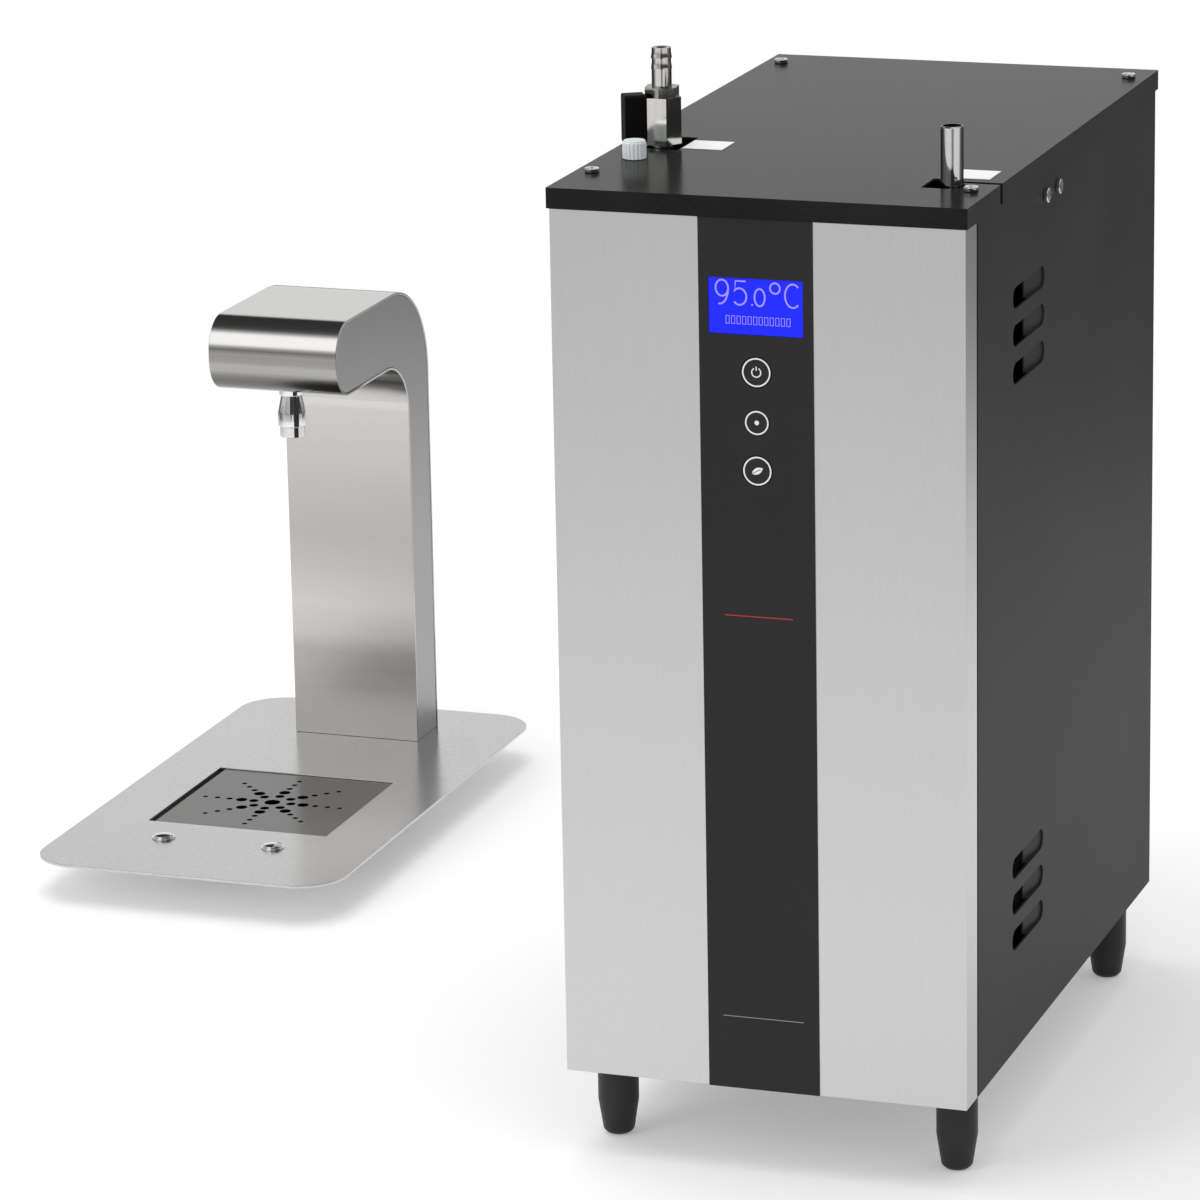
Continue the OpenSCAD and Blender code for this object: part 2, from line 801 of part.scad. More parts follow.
module button_housing(side) translate([side * button_x, button_y, plate_top]) {
  floor_t = 2;
  difference() {
    union() {
      bar(bezel_d, 0, bezel_h);
      bar(barrel_d, -plate_t - barrel_l, eps);
    }
    bar(cap_d + 2 * run, -plate_t - barrel_l + floor_t, bezel_h + cut);
  }
}

module left_button_housing() color("silver") on_font() button_housing(-1);
module right_button_housing() color("silver") on_font() button_housing(1);

module button_nuts() color("gray") on_font() {
  for (s = sides) translate([s * button_x, button_y, 0]) difference() {
    hex_bar(button_nut_af, plate_lift - button_nut_h, plate_lift);
    bar(barrel_d + 2 * run, plate_lift - button_nut_h - cut, plate_lift + cut);
  }
}

// ---------- boiler case ----------

// Places of the feet on the boiler
module at_feet() {
  for (x = sides, y = [foot_in_y, boiler_d - foot_in_y])
    translate([x * foot_x, y, 0]) children();
}

module base_tray() color("dimgray") on_boiler() {
  y0 = sheet_t + fit;
  y1 = boiler_d - sheet_t - fit;
  x1 = inner_x - fit;
  difference() {
    block([-x1, y0, case_z], [x1, y1, case_z + flange_h]);
    block([-x1 + sheet_t, y0 + sheet_t, tray_top], [x1 - sheet_t, y1 - sheet_t, case_z + panel_h]);
    at_feet() bar(foot_stud_d + 2 * fit, case_z - cut, tray_top + cut);
    rear_holes(y1 - sheet_t - cut, y1 + cut);
  }
}

// Holes for the water inlet and the cable gland, from y0 to y1
module rear_holes(y0, y1) {
  translate([0, 0, case_z + rear_port_z]) {
    translate([-rear_port_x, 0, 0]) bar_y(inlet_d + 2 * fit, y0, y1);
    translate([rear_port_x, 0, 0]) bar_y(gland_d - 4 + 2 * fit, y0, y1);
  }
}

module front_panel() color("silver") on_boiler() {
  difference() {
    block([-boiler_w / 2, 0, case_z], [boiler_w / 2, front_return, case_top]);
    block([-inner_x, sheet_t, case_z - cut], [inner_x, front_return + cut, case_top + cut]);
    front_openings();
  }
}

// Openings of the front panel and its control strip
module front_openings() {
  block([-window_w / 2 - fit, -cut, case_z + window_z - window_h / 2 - fit],
        [window_w / 2 + fit, sheet_t + cut, case_z + window_z + window_h / 2 + fit]);
  for (z = [power_z, eco_z]) translate([0, 0, case_z + z])
    bar_y(key_d + 2 * key_gap, -cut, sheet_t + cut);
  translate([0, 0, case_z + ready_z]) bar_y(lens_d + 2 * fit, -cut, sheet_t + cut);
}

module control_strip() color("black") on_boiler() {
  difference() {
    block([-strip_w / 2, -strip_t, case_z], [strip_w / 2, 0, case_top]);
    front_openings();
  }
}

module display_window() color("blue") on_boiler()
  block([-window_w / 2, -strip_t / 2, case_z + window_z - window_h / 2],
        [window_w / 2, sheet_t + strip_t, case_z + window_z + window_h / 2]);

module display_module() color("dimgray") on_boiler() {
  rim = 1.5;
  block([-window_w / 2 - rim, sheet_t + strip_t + fit, case_z + window_z - window_h / 2 - rim],
        [window_w / 2 + rim, board_y - fit, case_z + window_z + window_h / 2 + rim]);
}

module control_board() color("green") on_boiler() {
  block([-board_w / 2, board_y, board_z0], [board_w / 2, board_y + board_t, board_z0 + board_h]);
  for (x = sides, z = [5, board_h - 5]) translate([x * (board_w / 2 - 4), 0, board_z0 + z])
    bar_y(standoff_d, sheet_t, board_y + eps);
  for (z = [power_z, eco_z]) translate([0, 0, case_z + z])
    block([-switch_w / 2, switch_y, -switch_w / 2], [switch_w / 2, board_y + eps, switch_w / 2]);
}

// Round front key with a shoulder behind the panel and a stem that meets its switch
module front_key(z) translate([0, 0, case_z + z]) {
  shoulder_y = sheet_t + fit;
  bar_y(key_d, -strip_t, shoulder_y + eps);
  bar_y(key_d + 3, shoulder_y, shoulder_y + 1);
  bar_y(key_stem_d, shoulder_y, switch_y - key_travel - fit);
}

module power_button() color("black") on_boiler() front_key(power_z);
module eco_button() color("black") on_boiler() front_key(eco_z);

module ready_lens() color("black") on_boiler() translate([0, 0, case_z + ready_z]) {
  bar_y(lens_d, -strip_t, sheet_t + fit + eps);
  bar_y(lens_d + 3, sheet_t + fit, sheet_t + fit + 1);
  bar_y(key_stem_d, sheet_t + fit, board_y - fit);
}

// Louvre heights above the panel's lower edge
function louvre_zs() = [for (z0 = [louvre_low_z, louvre_high_z], i = [0 : 2]) z0 + i * louvre_pitch];

// Slot through a side panel, rounded at both ends: x is the panel's outer face at 0
module louvre_slot() {
  r = louvre_h / 2;
  translate([-sheet_t - cut, louvre_y + louvre_l / 2, 0]) rotate([90, 0, 90])
    linear_extrude(height = sheet_t + 2 * cut) {
      square([louvre_l - 2 * r, louvre_h], center = true);
      for (s = sides) translate([s * (louvre_l / 2 - r), 0]) circle(r);
    }
}

// Ramp behind a slot, deep at its mouth and level with the panel at its rear end
module louvre_ramp() {
  wall = 0.8;
  mouth = louvre_y + louvre_mouth;
  rear = louvre_y + louvre_l;
  deep = sheet_t + louvre_depth;
  translate([0, 0, -louvre_h / 2 - wall]) difference() {
    linear_extrude(height = louvre_h + 2 * wall)
      polygon([[-sheet_t, mouth], [-deep, mouth], [-sheet_t - wall, rear], [-sheet_t, rear]]);
    translate([0, 0, wall]) linear_extrude(height = louvre_h)
      polygon([[-sheet_t + wall, mouth - cut], [-deep + wall, mouth - cut],
               [-deep + wall, mouth], [-sheet_t, rear - 2 * wall], [-sheet_t + wall, rear - 2 * wall]]);
  }
}

// Side panel with its outer face at x = boiler_w / 2
module side_panel() translate([boiler_w / 2, 0, 0]) {
  difference() {
    block([-sheet_t, side_y, case_z], [0, boiler_d, case_top]);
    for (z = louvre_zs()) translate([0, 0, case_z + z]) louvre_slot();
  }
  for (z = louvre_zs()) translate([0, 0, case_z + z]) louvre_ramp();
}

module left_panel() color("dimgray") on_boiler() mirror([1, 0, 0]) side_panel();

module right_panel() color("dimgray") on_boiler() difference() {
  side_panel();
  side_screw_holes();
}

module side_screw_holes() {
  for (y = side_screw_y) translate([0, y, side_screw_z])
    bar_x(screw_d + 2 * run, boiler_w / 2 - 4 * sheet_t, boiler_w / 2 + cut);
}

module rear_panel() color("dimgray") on_boiler() {
  x1 = inner_x - fit;
  y0 = boiler_d - sheet_t;
  difference() {
    block([-x1, y0, case_z], [x1, boiler_d, case_top]);
    rear_holes(y0 - cut, boiler_d + cut);
  }
}

// Place of the ribbed cap
module at_bleed() translate([-boiler_w / 2 + bleed_in, bleed_y, 0]) children();

// Places of the lid screws
module at_lid_screws() {
  for (x = sides, y = [lid_screw_front, boiler_d - lid_screw_rear])
    translate([x * lid_screw_x, y, 0]) children();
}

module top_deck() color("dimgray") on_boiler() {
  y0 = sheet_t + fit;
  y1 = boiler_d - sheet_t - fit;
  x1 = inner_x - fit;
  boss_d = 9;
  difference() {
    union() {
      difference() {
        block([-x1, y0, case_top - flange_h], [x1, y1, case_top]);
        block([-x1 + sheet_t, y0 + 20, case_top - flange_h - cut],
              [x1 - sheet_t, y1 + cut, case_top - sheet_t]);
        block([-x1 - cut, y0 - cut, case_top - flange_h - cut],
              [x1 + cut, y0 + 20 + eps, case_top - sheet_t]);
      }
      at_lid_screws() bar(boss_d, case_top - eps, lid_under);
    }
    at_lid_screws() bar(screw_d + 2 * run, case_top + sheet_t, lid_under + cut);
    side_screw_holes();
    translate([vent_x, vent_y, 0]) bar(vent_d + 2 * fit, case_top - 2 * sheet_t, case_top + cut);
    translate([-valve_x, valve_y, 0]) bar(pipe_d + 2 * fit, case_top - 2 * sheet_t, case_top + cut);
    at_bleed() bar(bleed_shank_d + 2 * run, case_top - 2 * sheet_t, case_top + cut);
  }
}

module lid() color("dimgray") on_boiler() {
  x1 = boiler_w / 2 + lid_over;
  y0 = -lid_over;
  y1 = boiler_d + lid_over;
  skirt_z = case_top + fit;
  difference() {
    block([-x1, y0, skirt_z], [x1, y1, lid_top]);
    block([-x1 + sheet_t, y0 + sheet_t, skirt_z - cut], [x1 - sheet_t, y1 - sheet_t, lid_under]);
    at_lid_screws() bar(screw_d + 2 * run, lid_under - cut, lid_top + cut);
    block([vent_hole_x, vent_hole_y, lid_under - cut],
          [vent_hole_x + vent_hole_w, vent_hole_y + vent_hole_d, lid_top + cut]);
    translate([vent_x, vent_y, 0]) bar(vent_d + 2 * vent_gap, lid_under - cut, lid_top + cut);
    block([vent_x, vent_slot_y, skirt_z - cut], [x1 + cut, vent_slot_y + vent_slot_d, lid_top + cut]);
    block([valve_hole_x, valve_hole_y, lid_under - cut],
          [valve_hole_x + valve_hole_w, valve_hole_y + valve_hole_d, lid_top + cut]);
    at_bleed() bar(bleed_shank_d + 1, lid_under - cut, lid_top + cut);
  }
}

// Pan-head screw with its head's underside at z = 0
module pan_screw() {
  bar(screw_head_d, 0, screw_head_h);
  bar(screw_d, -screw_l, eps);
}

module case_screws() color("silver") on_boiler() {
  at_lid_screws() translate([0, 0, lid_top]) pan_screw();
  for (y = side_screw_y) translate([boiler_w / 2, y, side_screw_z]) rotate([0, 90, 0]) pan_screw();
}

// Plain labels beside the valve and behind the vent
module lid_labels() color("white") on_boiler() {
  for (p = [[-valve_x, valve_y] + valve_label, [vent_x, vent_y] + vent_label])
    translate([p.x - label_w / 2, p.y - label_w / 2, lid_top]) cube([label_w, label_w, label_t]);
}

// ---------- feet ----------

// Tapered foot with its stud: sx and y give its place
module foot(sx, y) {
  taper_z = foot_h / 2.4;
  rim = 2;
  translate([sx * foot_x, y, 0]) {
    bar(foot_d, taper_z, foot_h);
    translate([0, 0, rim]) cylinder(d1 = foot_tip_d, d2 = foot_d, h = taper_z - rim + eps);
    cylinder(d1 = foot_tip_d - 2 * rim, d2 = foot_tip_d, h = rim + eps);
    bar(foot_stud_d, foot_h - eps, foot_h + foot_stud_up);
  }
}

module front_left_foot() color("black") on_boiler() foot(-1, foot_in_y);
module front_right_foot() color("black") on_boiler() foot(1, foot_in_y);
module rear_left_foot() color("black") on_boiler() foot(-1, boiler_d - foot_in_y);
module rear_right_foot() color("black") on_boiler() foot(1, boiler_d - foot_in_y);

module foot_nuts() color("silver") on_boiler() at_feet() difference() {
  hex_bar(foot_nut_af, tray_top, tray_top + foot_nut_h);
  bar(foot_stud_d + 2 * run, tray_top - cut, tray_top + foot_nut_h + cut);
}

// ---------- tank ----------

module on_tank() on_boiler() translate([0, tank_y, 0]) children();

module tank_posts() color("gray") on_tank()
  for (a = [90, 210, 330]) rotate(a) translate([post_r, 0, 0]) bar(post_d, tray_top, tank_z);

// Places of the cover bolts
module at_bolts() for (i = [0 : bolt_count - 1]) rotate((i + 0.5) * 360 / bolt_count)
  translate([bolt_circle_d / 2, 0, 0]) children();

module tank() color("silver") on_tank() difference() {
  union() {
    bar(tank_d, tank_z, tank_top);
    bar(cover_d, tank_top - flange_t, tank_top);
  }
  bar(tank_d - 2 * tank_t, tank_z + tank_t, tank_top + cut);
  at_bolts() bar(bolt_d + 2 * fit, tank_top - flange_t - cut, tank_top + cut);
  translate(draw_port) bar(pipe_d + 2 * fit, tank_z - cut, tank_z + tank_t + cut);
}

module tank_gasket() color("firebrick") on_tank() difference() {
  bar(cover_d, tank_top, cover_z);
  bar(tank_d - 2 * tank_t, tank_top - cut, cover_z + cut);
  at_bolts() bar(bolt_d + 2 * fit, tank_top - cut, cover_z + cut);
}

module tank_cover() color("silver") on_tank() difference() {
  bar(cover_d, cover_z, cover_top);
  at_bolts() bar(bolt_d + 2 * fit, cover_z - cut, cover_top + cut);
  bar(2 * element_leg_x + element_d + 4, cover_z - cut, cover_top + cut);
  for (s = sides) translate([s * probe_x, 0, 0]) bar(probe_hole_d, cover_z - cut, cover_top + cut);
  translate(feed_port) bar(pipe_d + 2 * fit, cover_z - cut, cover_top + cut);
  translate(vent_port) bar(vent_d + 2 * fit, cover_z - cut, cover_top + cut);
}
module cover_bolts() color("silver") on_tank() at_bolts() {
  hex_bar(bolt_head_af, cover_top, cover_top + bolt_head_h);
  bar(bolt_d, tank_top - flange_t - bolt_head_h - 2, cover_top + eps);
  difference() {
    hex_bar(bolt_head_af, tank_top - flange_t - bolt_head_h, tank_top - flange_t);
    bar(bolt_d - eps, tank_top - flange_t - bolt_head_h - cut, tank_top);
  }
}

module insulation_jacket() color("beige") on_tank() difference() {
  bar(jacket_d, jacket_z, jacket_z + jacket_h);
  bar(tank_d + 2 * fit, jacket_z - cut, jacket_z + jacket_h + cut);
}

module heating_element() color("gray") on_tank() {
  leg_z = tank_z + element_rise;
  head_d = 2 * element_leg_x + element_d + 14;
  head_z = cover_top + 3;
  bar(head_d, cover_top, head_z);
  bar(2 * element_leg_x + element_d + 2, cover_z, cover_top + eps);
  hex_bar(2 * element_leg_x + element_d, head_z - eps, head_z + 8);
  for (s = sides) translate([s * element_leg_x, 0, 0]) {
    bar(element_d, leg_z, cover_z + eps);
    bar(4, head_z + 8 - eps, head_z + 20);
  }
  translate([0, 0, leg_z]) rotate([-90, 0, 0])
    rotate_extrude(angle = 180) translate([element_leg_x, 0]) circle(d = element_d);
}

module temperature_probe() color("silver") on_tank() translate([probe_x, 0, 0]) {
  bar(probe_rod_d, tank_z + temperature_rise, cover_top + probe_lead_h);
  bar(probe_hole_d - 2 * fit, cover_z, cover_top + eps);
  hex_bar(probe_hex_af, cover_top, cover_top + probe_hex_h);
}

module level_probes() color("white") on_tank() translate([-probe_x, 0, 0]) {
  bar(level_head_d, cover_top, cover_top + level_head_h);
  bar(probe_hole_d - 2 * fit, cover_z, cover_top + eps);
  for (i = [0 : 2]) rotate(i * 120) translate([level_rod_r, 0, 0])
    bar(level_rod_d, tank_z + level_rise + level_step * i, cover_top + level_rod_top);
}

module thermal_cutout() color("black") on_tank() translate(cutout_port) {
  bar(16, cover_top, cover_top + 8);
  for (s = sides) translate([s * 4, 0, 0])
    block([-0.4, -3, cover_top + 8 - eps], [0.4, 3, cover_top + 16]);
}

// ---------- plumbing and electrics ----------

module inlet_valve() color("white") on_boiler() translate([-rear_port_x, 0, case_z + rear_port_z]) {
  body_y = boiler_d - inlet_body_l;
  stub_y = body_y - inlet_stub_l;
  difference() {
    union() {
      bar_y(inlet_d + 2 * inlet_body_wall, body_y, boiler_d - 2 * inlet_flange_l);
      bar_y(inlet_d + 2 * inlet_flange_rim, boiler_d - 2 * inlet_flange_l - eps,
        boiler_d - inlet_flange_l);
      bar_y(inlet_d - step, boiler_d - inlet_flange_l - eps, boiler_d + shoulder + eps);
      bar_y(inlet_d, boiler_d + shoulder, boiler_d + inlet_l);
      bar_y(pipe_d + 2 * inlet_stub_wall, stub_y, body_y + eps);
    }
    bar_y(inlet_bore, body_y + inlet_bore_end, boiler_d + inlet_l + cut);
    bar_y(pipe_d - 2 * pipe_t, stub_y - cut, body_y + inlet_bore_end + cut);
  }
  block([-inlet_coil_w / 2, body_y, inlet_d / 2],
    [inlet_coil_w / 2, body_y + inlet_body_l / 2, inlet_d / 2 + inlet_coil_h]);
}

module inlet_pipe() color("peru") on_boiler() {
  start_y = boiler_d - inlet_body_l - inlet_stub_l - fit;
  bend_y = start_y - 16;
  rise_z = cover_top + 40;
  path_tube([
    [-rear_port_x, start_y, case_z + rear_port_z],
    [-rear_port_x, bend_y, case_z + rear_port_z],
    [-rear_port_x, bend_y, rise_z],
    [feed_port.x, tank_y + feed_port.y, rise_z],
    [feed_port.x, tank_y + feed_port.y, cover_z - 15]
  ], pipe_d, pipe_t);
}

module dispense_pump() color("darkslategray") on_boiler() translate([pump_x, pump_y, 0]) {
  bar(pump_d, tray_top, tray_top + pump_h);
  bar(motor_d, tray_top + pump_h - eps, tray_top + pump_h + motor_h);
}

// Point beside the pump's head on the line from its axis to a place
function pump_side(place) =
  let (way = place - [pump_x, pump_y]) [pump_x, pump_y] + way * (pump_d / 2 + fit) / norm(way);

// Point at a height
function at_z(place, z) = [place.x, place.y, z];

// Pipe from the tank's floor to the pump, and pipe from the pump to the valve on the deck
module outlet_pipes() color("peru") on_boiler() {
  draw = [draw_port.x, tank_y + draw_port.y];
  valve = [-valve_x, valve_y];
  path_tube([at_z(draw, tank_z + 8), at_z(draw, pump_port_z), at_z(pump_side(draw), pump_port_z)],
            pipe_d, pipe_t);
  path_tube([at_z(pump_side(valve), pump_port_z), at_z(valve, pump_port_z), at_z(valve, case_top)],
            pipe_d, pipe_t);
}

module vent_tube() color("silver") on_boiler() {
  bend_z = cover_top + 30;
  top = lid_top + vent_rise;
  chamfer = 0.6;
  path_tube([
    [vent_port.x, tank_y + vent_port.y, cover_z - 10],
    [vent_port.x, tank_y + vent_port.y, bend_z],
    [vent_x, vent_y, bend_z],
    [vent_x, vent_y, lid_top + shoulder]
  ], vent_d - step, vent_t - step / 2);
  translate([vent_x, vent_y, 0]) difference() {
    union() {
      bar(vent_d, lid_top + shoulder, top - chamfer + eps);
      translate([0, 0, top - chamfer]) cylinder(d1 = vent_d, d2 = vent_d - 2 * chamfer, h = chamfer);
    }
    bar(vent_d - 2 * vent_t, lid_top, top + cut);
  }
}

// Hose end with two soft ridges near its top, standing at z = 0
module barb(d, l) {
  ridge = 5.3;
  waist = 0.92 * d;
  cylinder(d = 0.95 * d, h = l - 2 * ridge);
  cylinder(d = waist, h = l);
  for (i = [1, 2]) translate([0, 0, l - i * ridge])
    cylinder(d1 = d, d2 = waist - 0.4, h = 0.9 * ridge);
}

// Puts a piece of the outlet valve in its place, with its stem along -x
module on_valve() on_boiler() translate([-valve_x, valve_y, 0]) rotate(valve_turn) children();

module outlet_valve() color("silver") on_valve() {
  body_top = lid_top + valve_rise;
  barb_z = body_top + barb_nut_h;
  difference() {
    union() {
      bar(valve_neck_d, case_top, neck_top);
      rotate(30) hex_bar(valve_af, neck_top - eps, body_top);
      rotate(nut_turn) hex_bar(valve_nut_af, body_top - eps, barb_z);
      translate([0, 0, barb_z - eps]) barb(barb_d, barb_l);
    }
    bar(valve_bore, case_top - cut, barb_z + barb_l + cut);
    translate([0, 0, lever_z]) bar_x(stem_d + 2 * run, -valve_af, 0);
  }
}

// Handle of the outlet valve with its stem, upright when the valve is open
module valve_lever() color("black") on_valve() translate([0, 0, lever_z]) {
  translate([-lever_x - lever_w, 0, 0]) rotate([90, 0, 90]) linear_extrude(height = lever_w)
    rounded_rect(lever_t, lever_l, lever_corner);
  bar_x(stem_d, -lever_x - eps, -valve_bore / 2 - 1);
}

// Ribbed cap of the bleed screw, with its shank through the lid and the deck
module bleed_cap() color("white") on_boiler() at_bleed() {
  rib_d = 1.2;
  cap_z = lid_top + bleed_gap;
  bar(bleed_cap_d - rib_d, cap_z, cap_z + bleed_cap_h);
  for (i = [1 : bleed_ribs]) rotate(i * 360 / bleed_ribs)
    translate([(bleed_cap_d - rib_d) / 2, 0, 0]) bar(rib_d, cap_z, cap_z + bleed_cap_h - 1);
  bar(bleed_shank_d, case_top - 6, cap_z + eps);
}

module cable_gland() color("black") on_boiler() translate([rear_port_x, 0, case_z + rear_port_z]) {
  difference() {
    union() {
      bar_y(gland_d - 4, boiler_d - 16, boiler_d + 2);
      bar_y(gland_d, boiler_d, boiler_d + 10);
      translate([0, boiler_d + 10 - eps, 0]) rotate([-90, 0, 0])
        cylinder(d1 = gland_d, d2 = gland_bore + 4, h = 5);
    }
    bar_y(gland_bore, boiler_d - 16 - cut, boiler_d + 15 + cut);
  }
}

// ---------- what is drawn ----------

base_plate();
column_skin();
left_cheek();
right_cheek();
nozzle_collar();
nozzle_body();
nozzle_tip();
spout_tube();
foot_block();
mounting_studs();
foot_screws();
tube_connector();
drip_grid();
drip_pan();
drain_spigot();
left_button();
right_button();
left_button_housing();
right_button_housing();
button_nuts();
base_tray();
front_panel();
control_strip();
display_window();
display_module();
control_board();
power_button();
eco_button();
ready_lens();
left_panel();
right_panel();
rear_panel();
top_deck();
lid();
case_screws();
lid_labels();
front_left_foot();
front_right_foot();
rear_left_foot();
rear_right_foot();
foot_nuts();
tank_posts();
tank();
tank_gasket();
tank_cover();
cover_bolts();
insulation_jacket();
heating_element();
temperature_probe();
level_probes();
thermal_cutout();
inlet_valve();
inlet_pipe();
dispense_pump();
outlet_pipes();
vent_tube();
outlet_valve();
valve_lever();
bleed_cap();
cable_gland();
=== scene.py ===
"""Looks for the countertop hot water dispenser: the spout unit on its drip plate, and its boiler.

Everything is in metres in the set's own frame: X to the right seen from the front, Y to the back,
Z up, with the floor at zero. Sizes of edges, prints and cuts are in millimetres.
"""
import json
from math import cos, pi, radians, sin

import bpy
from mathutils import Matrix, Vector


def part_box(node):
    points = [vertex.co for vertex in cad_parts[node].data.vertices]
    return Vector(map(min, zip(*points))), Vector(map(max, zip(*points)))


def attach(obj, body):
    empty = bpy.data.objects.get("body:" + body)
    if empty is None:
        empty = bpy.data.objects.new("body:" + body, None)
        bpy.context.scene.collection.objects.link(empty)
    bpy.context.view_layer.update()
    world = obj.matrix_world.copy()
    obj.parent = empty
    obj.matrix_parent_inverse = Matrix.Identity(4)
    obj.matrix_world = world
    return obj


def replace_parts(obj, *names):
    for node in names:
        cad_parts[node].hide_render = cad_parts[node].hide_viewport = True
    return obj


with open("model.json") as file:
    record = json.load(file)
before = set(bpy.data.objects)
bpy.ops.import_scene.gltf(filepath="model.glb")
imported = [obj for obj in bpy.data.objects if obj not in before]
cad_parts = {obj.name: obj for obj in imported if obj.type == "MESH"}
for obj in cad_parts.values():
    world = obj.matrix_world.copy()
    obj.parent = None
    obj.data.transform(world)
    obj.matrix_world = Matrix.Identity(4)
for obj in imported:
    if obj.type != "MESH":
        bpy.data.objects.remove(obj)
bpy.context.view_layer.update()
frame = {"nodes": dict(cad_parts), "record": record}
MM = 0.001


# ---------------------------------------------------------------- camera

CAMERA_PLACE = (1.0408, -2.8913, 1.0481)
CAMERA_AZIMUTH = 19.425     # degrees to the right of straight in front
CAMERA_ELEVATION = 15.497   # degrees above level
CAMERA_ROLL = -1.091
CAMERA_LENS = 171.55        # mm
CAMERA_FILM = 36            # mm


def add_camera():
    """A long lens in front of the set, a little to its right and above it."""
    azimuth, elevation, roll = (radians(a) for a in (CAMERA_AZIMUTH, CAMERA_ELEVATION, CAMERA_ROLL))
    back = Vector((sin(azimuth) * cos(elevation), -cos(azimuth) * cos(elevation), sin(elevation)))
    right = Vector((0, 0, 1)).cross(back).normalized()
    up = back.cross(right)
    turned_right = cos(roll) * right + sin(roll) * up
    turned_up = cos(roll) * up - sin(roll) * right
    data = bpy.data.cameras.new("camera")
    data.lens = CAMERA_LENS
    data.sensor_width = CAMERA_FILM
    data.clip_end = 50
    camera = bpy.data.objects.new("camera", data)
    bpy.context.scene.collection.objects.link(camera)
    camera.matrix_world = (Matrix.Translation(CAMERA_PLACE)
                           @ Matrix((turned_right, turned_up, back)).transposed().to_4x4())
    bpy.context.scene.camera = camera


# ---------------------------------------------------------------- shader building

TONE_RANGE = (0.35, 0.65)   # where most of a noise's values lie
PAINTED_RIM_RANGE = (0.22, 0.55)    # how far a face has turned away where its painted dark reflection begins and ends
PAINTED_RIM_LEVEL = 0.12            # what is left of the colour under the painted dark reflection at the rim


def grey(level):
    return (level, level, level)


def add_node(tree, kind, place, **values):
    """Adds a shader node; values are its settings or, by socket name, its inputs."""
    node = tree.nodes.new("ShaderNode" + kind)
    node.location = place
    for name, value in values.items():
        if hasattr(node, name):
            setattr(node, name, value)
        else:
            node.inputs[name.replace("_", " ")].default_value = value
    return node


def feed(tree, socket, value):
    """Links another node's output to a socket, or gives the socket a plain value."""
    if isinstance(value, bpy.types.NodeSocket):
        tree.links.new(value, socket)
    else:
        socket.default_value = value


def maths(tree, place, operation, *values, **settings):
    """The result of one sum on outputs or plain numbers."""
    node = add_node(tree, "Math", place, operation=operation, **settings)
    for socket, value in zip(node.inputs, values):
        feed(tree, socket, value)
    return node.outputs[0]


def span(tree, value, place, ends, results=(0.0, 1.0), **settings):
    """Carries a value's run between two ends over to the run between two results."""
    share = add_node(tree, "MapRange", place, **settings)
    for name, level in zip(("From Min", "From Max", "To Min", "To Max"), (*ends, *results)):
        share.inputs[name].default_value = level
    tree.links.new(value, share.inputs["Value"])
    return share.outputs["Result"]


def colour_ramp(tree, value, place, stops):
    """The colour at a value, from (position, colour) pairs."""
    ramp = add_node(tree, "ValToRGB", place)
    first, last = ramp.color_ramp.elements
    for end, (position, colour) in ((first, stops[0]), (last, stops[-1])):
        end.position, end.color = position, (*colour, 1)
    for position, colour in stops[1:-1]:
        ramp.color_ramp.elements.new(position).color = (*colour, 1)
    tree.links.new(value, ramp.inputs["Fac"])
    return ramp.outputs["Color"]


def level_ramp(tree, value, place, stops):
    """The grey at a value, from (position, level) pairs."""
    return colour_ramp(tree, value, place, [(position, grey(level)) for position, level in stops])


def mixed(tree, place, share, low, high):
    """A colour between low and high, each another node's colour or a grey level."""
    mix = add_node(tree, "Mix", place, data_type="RGBA")
    tree.links.new(share, mix.inputs["Factor"])
    for socket, value in ((mix.inputs[6], low), (mix.inputs[7], high)):
        feed(tree, socket, (*grey(value), 1) if isinstance(value, float) else value)
    return mix.outputs[2]


def new_group(name, inputs):
    """An empty node group that gives a tone and a height."""
    group = bpy.data.node_groups.new(name, "ShaderNodeTree")
    for label, kind, value in inputs:
        socket = group.interface.new_socket(label, in_out="INPUT", socket_type="NodeSocket" + kind)
        socket.default_value = value
    for label in ("Tone", "Height"):
        group.interface.new_socket(label, in_out="OUTPUT", socket_type="NodeSocketFloat")
    start = group.nodes.new("NodeGroupInput")
    start.location = (-900, 0)
    end = group.nodes.new("NodeGroupOutput")
    end.location = (600, 0)
    return group, start, end


def join_tones(group, end, fine, clouds, cloudy):
    """Tone from a fine noise and a cloudy one, by the cloudy share, and height from the fine."""
    tone = add_node(group, "Mix", (100, 100), data_type="FLOAT")
    tone.inputs["Factor"].default_value = cloudy
    link = group.links.new
    link(fine.outputs["Fac"], tone.inputs[2])
    link(clouds.outputs["Fac"], tone.inputs[3])
    link(tone.outputs[0], end.inputs["Tone"])
    link(fine.outputs["Fac"], end.inputs["Height"])


def grain_group():
    """Brushed metal: fine scratches along one way, and slow cloudy changes over the sheet."""
    group, start, end = new_group(
        "Brushed grain", [("Scratches", "Vector", (10, 10, 1500)), ("Clouds", "Float", 6.0)])
    place = add_node(group, "TexCoord", (-900, -250))
    stretch = add_node(group, "Mapping", (-650, 0))
    scratches = add_node(group, "TexNoise", (-400, 100), Scale=1.0, Detail=5.0, Roughness=0.7)
    clouds = add_node(group, "TexNoise", (-400, -250), Detail=2.0, Roughness=0.5)
    link = group.links.new
    link(place.outputs["Object"], stretch.inputs["Vector"])
    link(start.outputs["Scratches"], stretch.inputs["Scale"])
    link(stretch.outputs["Vector"], scratches.inputs["Vector"])
    link(place.outputs["Object"], clouds.inputs["Vector"])
    link(start.outputs["Clouds"], clouds.inputs["Scale"])
    join_tones(group, end, scratches, clouds, 0.35)
    return group


